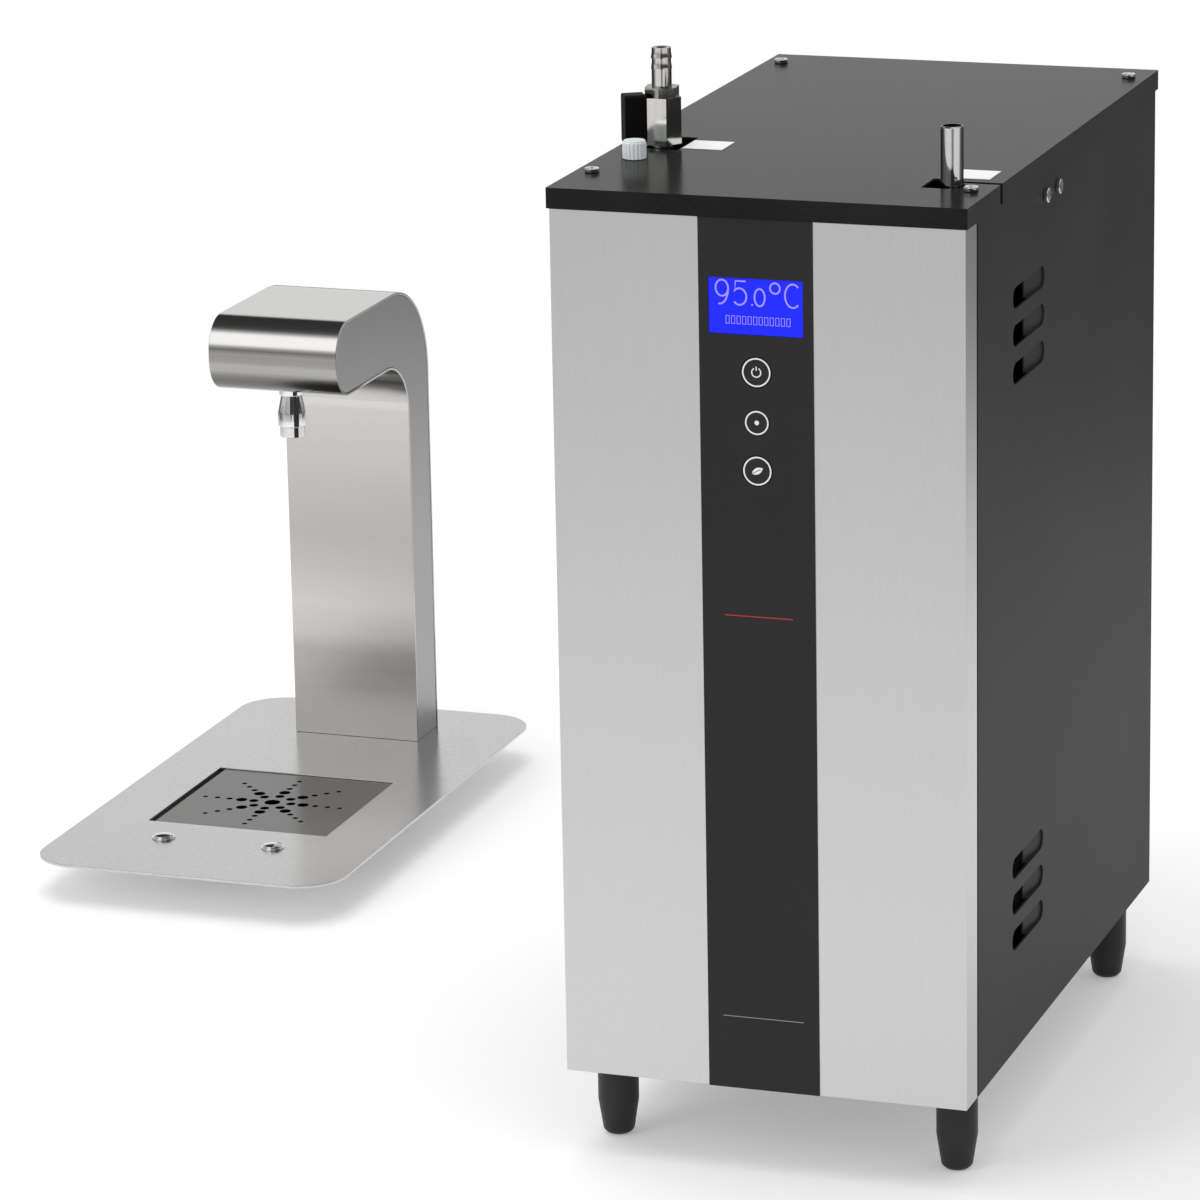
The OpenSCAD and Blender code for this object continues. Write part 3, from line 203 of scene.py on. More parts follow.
def speckle_group():
    """Powder coat and moulded plastic: small rounded bumps under slow cloudy changes."""
    group, start, end = new_group(
        "Coat speckle", [("Bumps", "Float", 900.0), ("Clouds", "Float", 8.0)])
    place = add_node(group, "TexCoord", (-900, -250))
    bumps = add_node(group, "TexNoise", (-400, 150), Detail=3.0, Roughness=0.6)
    clouds = add_node(group, "TexNoise", (-400, -200), Detail=3.0, Roughness=0.55)
    link = group.links.new
    link(place.outputs["Object"], bumps.inputs["Vector"])
    link(place.outputs["Object"], clouds.inputs["Vector"])
    link(start.outputs["Bumps"], bumps.inputs["Scale"])
    link(start.outputs["Clouds"], clouds.inputs["Scale"])
    join_tones(group, end, bumps, clouds, 0.5)
    return group


GRAIN = grain_group()
SPECKLE = speckle_group()


def surface(name, dark, light, rough, metallic=0.0, group=SPECKLE, depth=0.02, settings=(),
            **sockets):
    """A finish whose colour, roughness and relief follow a group's tone and height.

    dark and light are the colours at the two ends of the tone, and rough the two roughnesses.
    depth is the relief's, in mm; settings go to the group, and sockets to the shader.
    """
    material = bpy.data.materials.new(name)
    material.use_nodes = True
    tree = material.node_tree
    shader = tree.nodes["Principled BSDF"]
    shader.inputs["Metallic"].default_value = metallic
    for socket, value in sockets.items():
        shader.inputs[socket.replace("_", " ")].default_value = value
    pattern = tree.nodes.new("ShaderNodeGroup")
    pattern.node_tree = group
    pattern.location = (-900, 0)
    for socket, value in dict(settings).items():
        pattern.inputs[socket].default_value = value
    tone = pattern.outputs["Tone"]
    colour = colour_ramp(tree, tone, (-600, 150), list(zip(TONE_RANGE, (dark, light))))
    polish = span(tree, tone, (-600, -150), TONE_RANGE, rough)
    relief = add_node(tree, "Bump", (-300, -300), Strength=1.0, Distance=depth * MM)
    link = tree.links.new
    link(pattern.outputs["Height"], relief.inputs["Height"])
    link(colour, shader.inputs["Base Color"])
    link(polish, shader.inputs["Roughness"])
    link(relief.outputs["Normal"], shader.inputs["Normal"])
    return material


def scale_colour(material, build):
    """Scales a finish's colour by the value that build makes in its tree."""
    tree = material.node_tree
    shader = tree.nodes["Principled BSDF"]
    colour = shader.inputs["Base Color"].links[0].from_socket
    scaled = add_node(tree, "VectorMath", (-200, 250), operation="SCALE")
    tree.links.new(colour, scaled.inputs[0])
    tree.links.new(build(tree), scaled.inputs["Scale"])
    tree.links.new(scaled.outputs[0], shader.inputs["Base Color"])


def painted_rim_reflection(tree):
    """Paints a dark reflection of dark surroundings into a round piece's colour where it turns away
    from the view.
    """
    rim = add_node(tree, "LayerWeight", (-700, 500), Blend=0.5)
    return span(tree, rim.outputs["Facing"], (-450, 500), PAINTED_RIM_RANGE, (1.0, PAINTED_RIM_LEVEL),
                interpolation_type="SMOOTHSTEP")


def steel(name, tone, rough, scratches, depth=0.004, spread=0.04, warm=0.005):
    """Brushed or drawn stainless steel; scratches says how fine it is along X, Y and Z."""
    dark, light = ((level, level * (1 - warm / 2), level * (1 - warm))
                   for level in (tone - spread, tone + spread))
    return surface(name, dark, light, rough, 1.0, GRAIN, depth, {"Scratches": scratches})


def lit(name, dark, light, glow, strength):
    """Clear film with the display's back light behind it."""
    material = surface(name, dark, light, (0.12, 0.18), depth=0.001, Specular_IOR_Level=0.1)
    shader = material.node_tree.nodes["Principled BSDF"]
    shader.inputs["Emission Color"].default_value = (*glow, 1)
    shader.inputs["Emission Strength"].default_value = strength
    return material


# ---------------------------------------------------------------- finishes

front_steel = steel("brushed front steel", 0.62, (0.30, 0.40), (1500, 1500, 70), 0.003, 0.02)
column_steel = steel("satin column steel", 0.57, (0.13, 0.20), (5, 1100, 1100), 0.002, 0.02, 0.03)
column_front_steel = steel("brushed column steel", 0.68, (0.27, 0.34), (5, 1100, 1100),
                           0.002, 0.02, 0.03)
cheek_steel = steel("dull cheek steel", 0.37, (0.34, 0.44), (900, 900, 900), 0.003, 0.015)
plate_steel = steel("satin plate steel", 0.61, (0.19, 0.26), (300, 700, 900), 0.002, 0.10)
grid_steel = steel("drip grid steel", 0.13, (0.16, 0.22), (45, 900, 900), 0.002, 0.012, 0.06)
# The drip pan's steel is painted far darker than bare steel, as painted shade under the grid
shade_dark_pan_steel = steel("drawn pan steel with painted shade", 0.15, (0.30, 0.45), (1400, 6, 6), 0.002)
tank_steel = steel("tank steel", 0.50, (0.25, 0.35), (200, 200, 8), 0.003)
fixing_steel = steel("bright fixing steel", 0.66, (0.07, 0.14), (300, 300, 300), 0.001)
vent_steel = steel("vent tube steel", 0.74, (0.06, 0.12), (60, 60, 1500), 0.001)
valve_nickel = surface("valve nickel", (0.74, 0.72, 0.69), (0.84, 0.82, 0.79), (0.06, 0.12), 1.0,
                       GRAIN, 0.001, {"Scratches": (500, 500, 60)})
chrome = surface("bright chrome", grey(0.76), grey(0.80), (0.03, 0.06), 1.0, GRAIN, 0.0005)
cast_alloy = surface("cast alloy", grey(0.38), grey(0.48), (0.45, 0.6), 1.0, depth=0.1,
                     settings={"Bumps": 600.0})
element_steel = steel("dull element sheath", 0.22, (0.4, 0.55), (60, 60, 400), 0.01)
side_coat = surface("side powder coat", grey(0.025), grey(0.048), (0.42, 0.52), depth=0.12,
                    settings={"Bumps": 800.0}, Specular_IOR_Level=0.07)
lid_coat = surface("lid powder coat", grey(0.010), grey(0.022), (0.14, 0.22), depth=0.025,
                   settings={"Bumps": 1000.0}, Specular_IOR_Level=0.025)
grey_sheet = surface("zinc coated sheet", grey(0.20), grey(0.30), (0.35, 0.5), 0.8, depth=0.02,
                     settings={"Bumps": 90.0, "Clouds": 30.0})
strip_film = surface("dark strip film", grey(0.021), grey(0.025), (0.30, 0.38), depth=0.01,
                     settings={"Bumps": 2500.0}, Specular_IOR_Level=0.15)
strip_key = surface("dark key film", grey(0.022), grey(0.026), (0.28, 0.36), depth=0.01,
                    settings={"Bumps": 2500.0}, Specular_IOR_Level=0.15)
black_plastic = surface("black moulded plastic", grey(0.012), grey(0.020), (0.35, 0.5), depth=0.03)
lever_plastic = surface("lever plastic", grey(0.003), grey(0.005), (0.5, 0.6), depth=0.03,
                        Specular_IOR_Level=0.1)
foot_plastic = surface("foot plastic", grey(0.016), grey(0.024), (0.4, 0.5), depth=0.04,
                       Specular_IOR_Level=0.3)
white_plastic = surface("white moulded plastic", grey(0.74), grey(0.80), (0.4, 0.5), depth=0.02)
cap_plastic = surface("clouded cap plastic", (0.85, 0.91, 0.92), (0.93, 0.98, 0.99), (0.2, 0.3),
                      depth=0.05, Subsurface_Weight=0.15, Subsurface_Scale=0.002)
hose_silicone = surface("hose silicone", (0.72, 0.72, 0.70), (0.80, 0.80, 0.78), (0.35, 0.45))
label_paper = surface("bare label film", grey(0.86), grey(0.92), (0.35, 0.45), depth=0.005)
board_resist = surface("circuit board resist", (0.01, 0.10, 0.04), (0.02, 0.16, 0.06), (0.25, 0.35))
gasket_rubber = surface("gasket rubber", (0.28, 0.04, 0.025), (0.34, 0.05, 0.03), (0.6, 0.7))
jacket_felt = surface("jacket felt", (0.42, 0.39, 0.30), (0.58, 0.54, 0.44), (0.85, 0.95),
                      depth=0.6, settings={"Bumps": 350.0, "Clouds": 25.0})
print_ink = surface("white print", grey(0.84), grey(0.90), (0.45, 0.55), depth=0.002)
line_ink = surface("faint print", grey(0.26), grey(0.32), (0.45, 0.55), depth=0.002)
red_ink = surface("red print", (0.42, 0.012, 0.012), (0.50, 0.016, 0.016), (0.45, 0.55),
                  depth=0.002)
display_blue = lit("lit blue display", (0.004, 0.008, 0.30), (0.010, 0.016, 0.42),
                   (0.014, 0.022, 0.95), 0.70)
display_pale = lit("pale display characters", (0.12, 0.10, 0.40), (0.16, 0.13, 0.44),
                   (0.34, 0.30, 1.0), 0.75)

FINISHES = {
    "base_plate": plate_steel, "column_skin": column_steel, "left_cheek": cheek_steel,
    "right_cheek": cheek_steel, "nozzle_collar": chrome, "nozzle_body": chrome,
    "nozzle_tip": fixing_steel, "spout_tube": hose_silicone, "foot_block": cast_alloy,
    "mounting_studs": fixing_steel, "foot_screws": fixing_steel, "tube_connector": white_plastic,
    "drip_grid": grid_steel, "drip_pan": shade_dark_pan_steel, "drain_spigot": shade_dark_pan_steel,
    "left_button": chrome, "right_button": chrome, "left_button_housing": chrome,
    "right_button_housing": chrome, "button_nuts": fixing_steel, "base_tray": grey_sheet,
    "front_panel": front_steel, "control_strip": strip_film, "display_window": display_blue,
    "display_module": black_plastic, "control_board": board_resist, "power_button": strip_key,
    "eco_button": strip_key, "ready_lens": strip_key, "left_panel": side_coat,
    "right_panel": side_coat, "rear_panel": side_coat, "top_deck": grey_sheet, "lid": lid_coat,
    "case_screws": fixing_steel, "lid_labels": label_paper, "front_left_foot": foot_plastic,
    "front_right_foot": foot_plastic, "rear_left_foot": foot_plastic,
    "rear_right_foot": foot_plastic, "foot_nuts": fixing_steel, "tank_posts": fixing_steel,
    "tank": tank_steel, "tank_gasket": gasket_rubber, "tank_cover": tank_steel,
    "cover_bolts": fixing_steel, "insulation_jacket": jacket_felt, "heating_element": element_steel,
    "temperature_probe": element_steel, "level_probes": white_plastic,
    "thermal_cutout": black_plastic, "inlet_valve": white_plastic, "inlet_pipe": hose_silicone,
    "dispense_pump": black_plastic, "outlet_pipes": hose_silicone, "vent_tube": vent_steel,
    "outlet_valve": valve_nickel, "valve_lever": lever_plastic, "bleed_cap": cap_plastic,
    "cable_gland": black_plastic,
}
BODY_OF = {node: body for body, nodes in frame["record"]["behaviour"]["bodies"].items()
           for node in nodes}

# Painted reflection bands in the wrapped steel's colour by height over the column, and painted
# shade with reflection bands under the nose by height up its front
PAINTED_COLUMN_REFLECTIONS = ((0.0, 0.72), (0.19, 0.70), (0.225, 0.88), (0.296, 0.95), (0.373, 0.80),
               (0.451, 0.72), (0.55, 0.78), (0.65, 0.88), (0.76, 1.0), (1.0, 1.0))
PAINTED_NOSE_SHADE_AND_REFLECTIONS = ((0.0, 0.28), (0.23, 0.28), (0.33, 0.38), (0.43, 0.66), (0.53, 0.68), (0.60, 0.54),
             (0.70, 0.55), (0.80, 0.75), (0.90, 1.0), (1.0, 1.0))
NOSE_FRONT = 34.0     # depth of the nose's front part, and of the whole turn's height
NOSE_BLEND = 12.0     # depth over which the nose's painted shade ends behind its front part
HEAD_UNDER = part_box("nozzle_collar")[1].z


def painted_reflections_and_shade(tree):
    """Slow painted reflection bands up the column, and painted shade where the nose turns under."""
    low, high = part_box("column_skin")
    edge = low.y + NOSE_FRONT * MM
    place = add_node(tree, "TexCoord", (-1700, 600))
    parts = add_node(tree, "SeparateXYZ", (-1500, 600))
    tree.links.new(place.outputs["Object"], parts.inputs[0])
    up_column = span(tree, parts.outputs["Z"], (-1250, 800), (low.z, high.z))
    up_nose = span(tree, parts.outputs["Z"], (-1250, 550),
                   (HEAD_UNDER, HEAD_UNDER + NOSE_FRONT * MM))
    behind = span(tree, parts.outputs["Y"], (-1250, 300), (edge, edge + NOSE_BLEND * MM))
    # painted reflection bands by height up the column, and painted shade with reflection bands
    # under the nose
    column = level_ramp(tree, up_column, (-1000, 800), PAINTED_COLUMN_REFLECTIONS)
    nose = level_ramp(tree, up_nose, (-1000, 550), PAINTED_NOSE_SHADE_AND_REFLECTIONS)
    return maths(tree, (-400, 600), "MULTIPLY", column, mixed(tree, (-650, 600), behind, nose, 1.0))


# The vent tube and the valve get a painted dark reflection in their colour at their turning sides
for shiny in (vent_steel, valve_nickel):
    scale_colour(shiny, painted_rim_reflection)
# Both column finishes get the painted reflection bands and the painted shade under the nose in
# their colour
for wrapped in (column_steel, column_front_steel):
    scale_colour(wrapped, painted_reflections_and_shade)
for node, finish in FINISHES.items():
    materials = frame["nodes"][node].data.materials
    materials.clear()
    materials.append(finish)


# ---------------------------------------------------------------- modelling helpers

SMOOTH_ANGLE = radians(35)   # a sharper turn than this between two faces stays a hard edge
BEVEL_ANGLE = radians(30)    # and a sharper turn than this gets a rounded edge
FLAT_ANGLE = radians(0.5)    # faces that turn less than this are one face
MERGE = 0.01                 # points closer than this are one point


def select_only(piece):
    bpy.ops.object.select_all(action="DESELECT")
    piece.select_set(True)
    bpy.context.view_layer.objects.active = piece


def apply_modifier(piece, name, kind, **settings):
    """Adds a modifier to the selected piece and applies it."""
    modifier = piece.modifiers.new(name, kind)
    for setting, value in settings.items():
        setattr(modifier, setting, value)
    bpy.ops.object.modifier_apply(modifier=name)


def settle(piece, finish, node):
    """Gives a finished piece its material and smooth faces, and a node's body."""
    select_only(piece)
    bpy.ops.object.transform_apply(location=True, rotation=True, scale=True)
    bpy.ops.object.shade_smooth_by_angle(angle=SMOOTH_ANGLE)
    piece.data.materials.clear()
    piece.data.materials.append(finish)
    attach(piece, BODY_OF[node])
    return piece


def rounded(node, edge):
    """A CAD node's copy with merged faces and rounded edges, shown in the node's place."""
    piece = frame["nodes"][node].copy()
    piece.data = piece.data.copy()
    piece.name = "rounded_" + node
    for key in list(piece.keys()):   # the node's own marks stay with the node
        del piece[key]
    piece.parent = None
    bpy.context.scene.collection.objects.link(piece)
    select_only(piece)
    bpy.ops.object.mode_set(mode="EDIT")
    bpy.ops.mesh.select_all(action="SELECT")
    bpy.ops.mesh.remove_doubles(threshold=MERGE * MM)
    bpy.ops.mesh.dissolve_limited(angle_limit=FLAT_ANGLE, delimit=set())
    bpy.ops.object.mode_set(mode="OBJECT")
    apply_modifier(piece, "edges", "BEVEL", width=edge * MM, segments=3, limit_method="ANGLE",
                   angle_limit=BEVEL_ANGLE, harden_normals=False)
    settle(piece, FINISHES[node], node)
    # Large flat faces stay evenly shaded, so that only the rounded edges turn the light
    apply_modifier(piece, "level", "WEIGHTED_NORMAL", mode="FACE_AREA", weight=100, keep_sharp=True)
    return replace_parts(piece, node)


def refinish(node, finish, chosen):
    """Gives the faces that chosen picks another finish."""
    mesh = bpy.data.objects["rounded_" + node].data
    mesh.materials.append(finish)
    for face in mesh.polygons:
        if chosen(face):
            face.material_index = 1


# ---------------------------------------------------------------- the set

# How far each visible node's edges are rounded
EDGES = {
    "base_plate": 0.45, "column_skin": 0.35, "left_cheek": 0.3, "right_cheek": 0.3,
    "nozzle_collar": 0.4, "nozzle_body": 0.3, "nozzle_tip": 0.4, "drip_grid": 0.25,
    "left_button_housing": 0.3, "right_button_housing": 0.3, "left_button": 0.2,
    "right_button": 0.2, "front_panel": 0.4, "control_strip": 0.08, "display_window": 0.15,
    "left_panel": 0.35, "right_panel": 0.35, "rear_panel": 0.3, "lid": 0.5, "lid_labels": 0.05,
    "front_left_foot": 0.6, "front_right_foot": 0.6, "rear_left_foot": 0.6,
    "rear_right_foot": 0.6, "vent_tube": 0.15, "outlet_valve": 0.3, "valve_lever": 0.6,
    "bleed_cap": 0.15, "cable_gland": 0.4, "inlet_valve": 0.4, "power_button": 0.15,
    "eco_button": 0.15, "ready_lens": 0.15, "case_screws": 0.5,
}
for node, edge in EDGES.items():
    rounded(node, edge)

# The lid's turned-down sides have the side panels' duller coat, and the column's upright front and
# back are brushed more coarsely than its bends
refinish("lid", side_coat, lambda face: abs(face.normal.x) > 0.9)
refinish("column_skin", column_front_steel,
         lambda face: abs(face.normal.y) > 0.99 and face.center.z < HEAD_UNDER)

HEAD_SKIN = 0.1       # points this near to the outermost height or side are on a screw's face
HEAD_REACH = 8        # points of one head lie closer together than this
CROSS_DEPTH = 1.1
CROSS_LENGTH = 4.2
CROSS_WIDTH = 0.95
FIRST_TURN = 25       # each screw stopped at another turn, in degrees
NEXT_TURN = 37


def screw_faces(heads, top, side):
    """The middles of the screw heads' outer faces, on the lid and on the side panel."""
    groups = []
    for vertex in heads.data.vertices:
        spot = vertex.co.copy()
        if spot.z > top - HEAD_SKIN * MM or spot.x > side - HEAD_SKIN * MM:
            near = [group for group in groups if (group[0] - spot).length < HEAD_REACH * MM]
            if near:
                near[0].append(spot)
            else:
                groups.append([spot])
    return [Vector((min(p[i] for p in group) + max(p[i] for p in group)) / 2 for i in range(3))
            for group in groups]


def screw_crosses():
    """Cuts a cross for the driver into each case screw's head."""
    heads = bpy.data.objects["rounded_case_screws"]
    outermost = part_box("case_screws")[1]
    for i, place in enumerate(screw_faces(heads, outermost.z, outermost.x)):
        upward = place.z > outermost.z - CROSS_DEPTH * MM / 2
        for turn in (0, pi / 2):
            bpy.ops.object.select_all(action="DESELECT")
            bpy.ops.mesh.primitive_cube_add(size=1, location=place)
            cutter = bpy.context.object
            sizes = [CROSS_LENGTH, CROSS_WIDTH, 2 * CROSS_DEPTH]
            if not upward:
                sizes.reverse()
            cutter.scale = [size * MM for size in sizes]
            angle = turn + radians(FIRST_TURN + NEXT_TURN * i)
            cutter.rotation_euler = (0, 0, angle) if upward else (angle, 0, 0)
            select_only(heads)
            apply_modifier(heads, "cross", "BOOLEAN", operation="DIFFERENCE", solver="EXACT",
                           object=cutter)
            bpy.data.objects.remove(cutter)
    select_only(heads)
    bpy.ops.object.shade_smooth_by_angle(angle=SMOOTH_ANGLE)


screw_crosses()


# ---------------------------------------------------------------- prints and display

PRINT = 0.06          # thickness of the ink and of the display's characters
PRINT_EDGE = 0.018    # how far its edges are rounded
RINGS = {"power_button": 7.2, "ready_lens": 6.0, "eco_button": 7.2}   # outer radii
RING_POINTS = 96
RING_LINE = 0.75      # widths of the printed lines
SIGN_LINE = 0.6
VEIN_LINE = 0.32
NUMBER_LINE = 0.85
BAR_LINE = 0.42
POWER_RADIUS = 2.3    # radius of the open circle in the power sign
POWER_BAR = (0.9, 2.9)               # ends of its bar above the middle
DOT_RADIUS = 1.15
DOT_LINE = 1.14       # the ring that makes the dot closes all but a hair of its middle
LEAF_LENGTH = 6.4
LEAF_WIDTH = 3.2
LEAF_TILT = radians(28)
LEAF_STEPS = 16
VEIN_SHARES = (-0.62, -0.12, 0.30)   # points of the vein along the leaf, from its middle
BARS = 12
BOW_STEPS = 20        # points along each bow of a character, and of the power sign
POWER_STEPS = 24
BAR_LEFT = 8.6        # from the display's left side to the first bar
BAR_STEP = 2.8
BAR_WIDTH = 1.7
BAR_HEIGHTS = (18.6, 22.4)           # top and foot, from the display's top
# Each line's way down from the display's top, half its length, its width and its ink
STRIP_LINES = {"red_line": (169.0, 17.5, 0.5, red_ink), "faint_line": (377.4, 21.0, 0.4, line_ink)}


def face_middle(node):
    """The middle of a node's front face."""
    low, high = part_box(node)
    middle = (low + high) / 2
    middle.y = low.y
    return middle


def flat_ring(name, node, radius, width):
    """A thin white ring on a node's front face, with softly rounded edges."""
    centre = face_middle(node)
    bpy.ops.object.select_all(action="DESELECT")
    bpy.ops.mesh.primitive_circle_add(vertices=RING_POINTS, radius=radius * MM,
                                      fill_type="NOTHING", location=centre,
                                      rotation=(pi / 2, 0, 0))
    piece = bpy.context.object
    piece.name = name
    bpy.ops.object.mode_set(mode="EDIT")
    bpy.ops.mesh.select_all(action="SELECT")
    bpy.ops.mesh.extrude_edges_move()
    inner = (radius - width) / radius
    bpy.ops.transform.resize(value=(inner, inner, inner), center_override=centre)
    bpy.ops.object.mode_set(mode="OBJECT")
    return thickened(piece, node)


def thickened(piece, node):
    """Raises a flat white print by a hair, with its edges rounded."""
    select_only(piece)
    bpy.ops.object.transform_apply(location=True, rotation=True, scale=True)
    apply_modifier(piece, "height", "SOLIDIFY", thickness=PRINT * MM, offset=0)
    apply_modifier(piece, "edges", "BEVEL", width=PRINT_EDGE * MM, segments=2,
                   limit_method="ANGLE")
    bpy.ops.object.mode_set(mode="EDIT")
    bpy.ops.mesh.select_all(action="SELECT")
    bpy.ops.mesh.normals_make_consistent(inside=False)
    bpy.ops.object.mode_set(mode="OBJECT")
    return settle(piece, print_ink, node)


def drawn(name, lines, width, finish, node):
    """Lines of even width on a node's front face, as one raised print.

    lines holds rows of points, each with a word on whether the row closes.
    """
    curve = bpy.data.curves.new(name, "CURVE")
    curve.dimensions = "3D"
    for points, closed in lines:
        line = curve.splines.new("POLY")
        line.points.add(len(points) - 1)
        for point, place in zip(line.points, points):
            point.co = (*place, 1)
        line.use_cyclic_u = closed
    curve.bevel_depth = width / 2 * MM
    curve.bevel_resolution = 2
    curve.use_fill_caps = True
    piece = bpy.data.objects.new(name, curve)
    bpy.context.scene.collection.objects.link(piece)
    select_only(piece)
    bpy.ops.object.convert(target="MESH")
    piece = bpy.context.object
    bpy.ops.object.mode_set(mode="EDIT")
    bpy.ops.mesh.select_all(action="SELECT")
    bpy.ops.transform.resize(value=(1, PRINT / width, 1), center_override=lines[0][0][0])
    bpy.ops.object.mode_set(mode="OBJECT")
    return settle(piece, finish, node)


def bow(centre, half_width, half_height, start, end, steps):
    """Points on a bow in the front plane; angles in degrees, from the right side upwards."""
    turns = [radians(start + (end - start) * i / steps) for i in range(steps + 1)]
    return [(centre.x + half_width * MM * cos(a), centre.y, centre.z + half_height * MM * sin(a))
            for a in turns]


def key_signs():
    """White rings round the two keys and the ready light, with a power sign and a dot."""
    for node, radius in RINGS.items():
        flat_ring("ring_" + node, node, radius, RING_LINE)
    power = face_middle("power_button")
    ring = bow(power, POWER_RADIUS, POWER_RADIUS, -240, 60, POWER_STEPS)
    bar = [(power.x, power.y, power.z + height * MM) for height in POWER_BAR]
    drawn("power_sign", [(ring, False), (bar, False)], SIGN_LINE, print_ink, "power_button")
    flat_ring("ready_dot", "ready_lens", DOT_RADIUS, DOT_LINE)


def leaf_sign():
    """A plain leaf on the eco key: one blade with a slit for its vein."""
    centre = face_middle("eco_button")

    def place(along, across, raised=0.0):
        x = along * cos(LEAF_TILT) - across * sin(LEAF_TILT)
        z = along * sin(LEAF_TILT) + across * cos(LEAF_TILT)
        return centre + Vector((x, -raised, z)) * MM

    shares = [i / LEAF_STEPS for i in range(LEAF_STEPS + 1)]
    upper = [((t - 0.5) * LEAF_LENGTH, LEAF_WIDTH / 2 * sin(pi * t) ** 0.8) for t in shares]
    edge = upper + [(along, -across) for along, across in upper[-2:0:-1]]
    bpy.ops.object.select_all(action="DESELECT")
    bpy.ops.mesh.primitive_circle_add(vertices=len(edge), radius=MM, fill_type="NGON")
    piece = bpy.context.object
    piece.name = "leaf_sign"
    for vertex, (along, across) in zip(piece.data.vertices, edge):
        vertex.co = place(along, across)
    thickened(piece, "eco_button")
    vein = [place(share * LEAF_LENGTH, 0, PRINT / 2) for share in VEIN_SHARES]
    drawn("leaf_vein", [(vein, False)], VEIN_LINE, strip_key, "eco_button")


def display_signs():
    """The set temperature in large thin characters, and a row of level bars under it."""
    low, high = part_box("display_window")

    def spot(across, down):
        return Vector((low.x + across * MM, low.y, high.z - down * MM))

    def turn(across, down, half_width, half_height, start, end):
        return bow(spot(across, down), half_width, half_height, start, end, BOW_STEPS)

    # From left to right: nine with its tail, five, point, nought, degree ring and C
    number = [
        (turn(6.7, 5.0, 3.2, 4.0, -20, 340), False),
        (turn(5.6, 5.0, 4.3, 7.9, 0, -100), False),
        ([spot(18.8, 1.3), spot(13.6, 1.3), spot(13.2, 6.6)]
         + turn(15.6, 8.9, 3.5, 4.1, 135, -140), False),
        ([spot(21.6, 12.7), spot(22.4, 12.7)], False),
        (turn(25.8, 8.9, 2.6, 4.3, 0, 345), True),
        (turn(33.6, 4.0, 2.5, 2.6, 0, 345), True),
        (turn(42.6, 7.3, 4.0, 5.8, 48, 312), False),
    ]
    drawn("display_number", number, NUMBER_LINE, display_pale, "display_window")
    top, foot = BAR_HEIGHTS
    bars = []
    for i in range(BARS):
        left = BAR_LEFT + BAR_STEP * i
        right = left + BAR_WIDTH
        corners = ((left, top), (right, top), (right, foot), (left, foot))
        bars.append(([spot(*corner) for corner in corners], True))
    drawn("display_bars", bars, BAR_LINE, display_pale, "display_window")


def strip_lines():
    """Two thin lines across the strip: a red one halfway down and a faint one near its foot."""
    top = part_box("display_window")[1].z
    middle = face_middle("control_strip")
    for name, (down, half, width, ink) in STRIP_LINES.items():
        line = [(middle.x + side * half * MM, middle.y, top - down * MM) for side in (-1, 1)]
        drawn(name, [(line, False)], width, ink, "control_strip")


key_signs()
leaf_sign()
display_signs()
strip_lines()


# ---------------------------------------------------------------- stage and light

FLOOR_SIZE = 6
FLOOR_DROP = 0.0005         # the floor lies this far under the feet
FLOOR_LEVEL = 0.82
FLOOR_GLOW = 0.26           # how much whiter than lit paper the background rays see it
FLOOR_FADE = (0.9, 1.9)     # distances from the middle between which the floor fades out
MATT_LEVEL = 0.70           # what matt surfaces see all round
STUDIO_PEAK = 1.6           # how bright a level of 1 is to metal
# What metal sees by the angle round the X axis: 0 is the front horizon, 0.5 overhead, 1 the back
ABOVE = ((0.0, 0.20), (0.03, 0.24), (0.06, 0.36), (0.085, 0.60), (0.11, 1.0), (0.315, 1.0),
         (0.345, 0.62), (0.375, 0.32), (0.405, 0.14), (0.44, 0.055), (0.50, 0.035), (0.607, 0.028),
         (0.80, 0.022), (0.87, 0.58), (1.0, 0.60))
# By the share from left to right: 0 keeps these bands, and 1 gives the room's plain level
ASIDE = ((0.0, 1.0), (0.15, 1.0), (0.21, 0.0), (0.46, 0.0), (0.49, 1.0), (1.0, 1.0))
ROOM_LEVEL = 0.40
# Past the floor's edge, by the depth below the horizon in front, and the level at the sides
BELOW_FRONT = ((0.0, 0.20), (0.10, 0.40), (0.25, 0.54), (0.5, 0.5))
SIDES_LEVEL = 0.12
# The front's share in it round the room: 0 is the back, 0.25 the left, 0.5 the front
ROUND_BELOW = ((0.0, 0.0), (0.29, 0.0), (0.36, 0.9), (0.39, 1.0), (0.517, 1.0), (0.536, 0.1),
               (0.570, 0.1), (0.598, 1.0), (0.739, 1.0), (0.778, 0.0), (1.0, 0.0))
# A dark screen to the right of the camera, round the room and up to SCREEN_TOP above the horizon
SCREEN = ((0.0, 0.0), (0.505, 0.0), (0.515, 1.0), (0.80, 1.0), (0.85, 0.0), (1.0, 0.0))
SCREEN_LEVEL = 0.03
SCREEN_TOP = (0.30, 0.45)


def background_rays(tree, place):
    """Camera, glossy and transmission rays: the floor glows white to all three, and the world to
    all but glossy rays, which see its bands.
    """
    x, y = place
    ray = add_node(tree, "LightPath", (x, y)).outputs
    seen = maths(tree, (x + 200, y), "ADD", ray["Is Camera Ray"], ray["Is Glossy Ray"])
    return maths(tree, (x + 350, y), "ADD", seen, ray["Is Transmission Ray"], use_clamp=True)


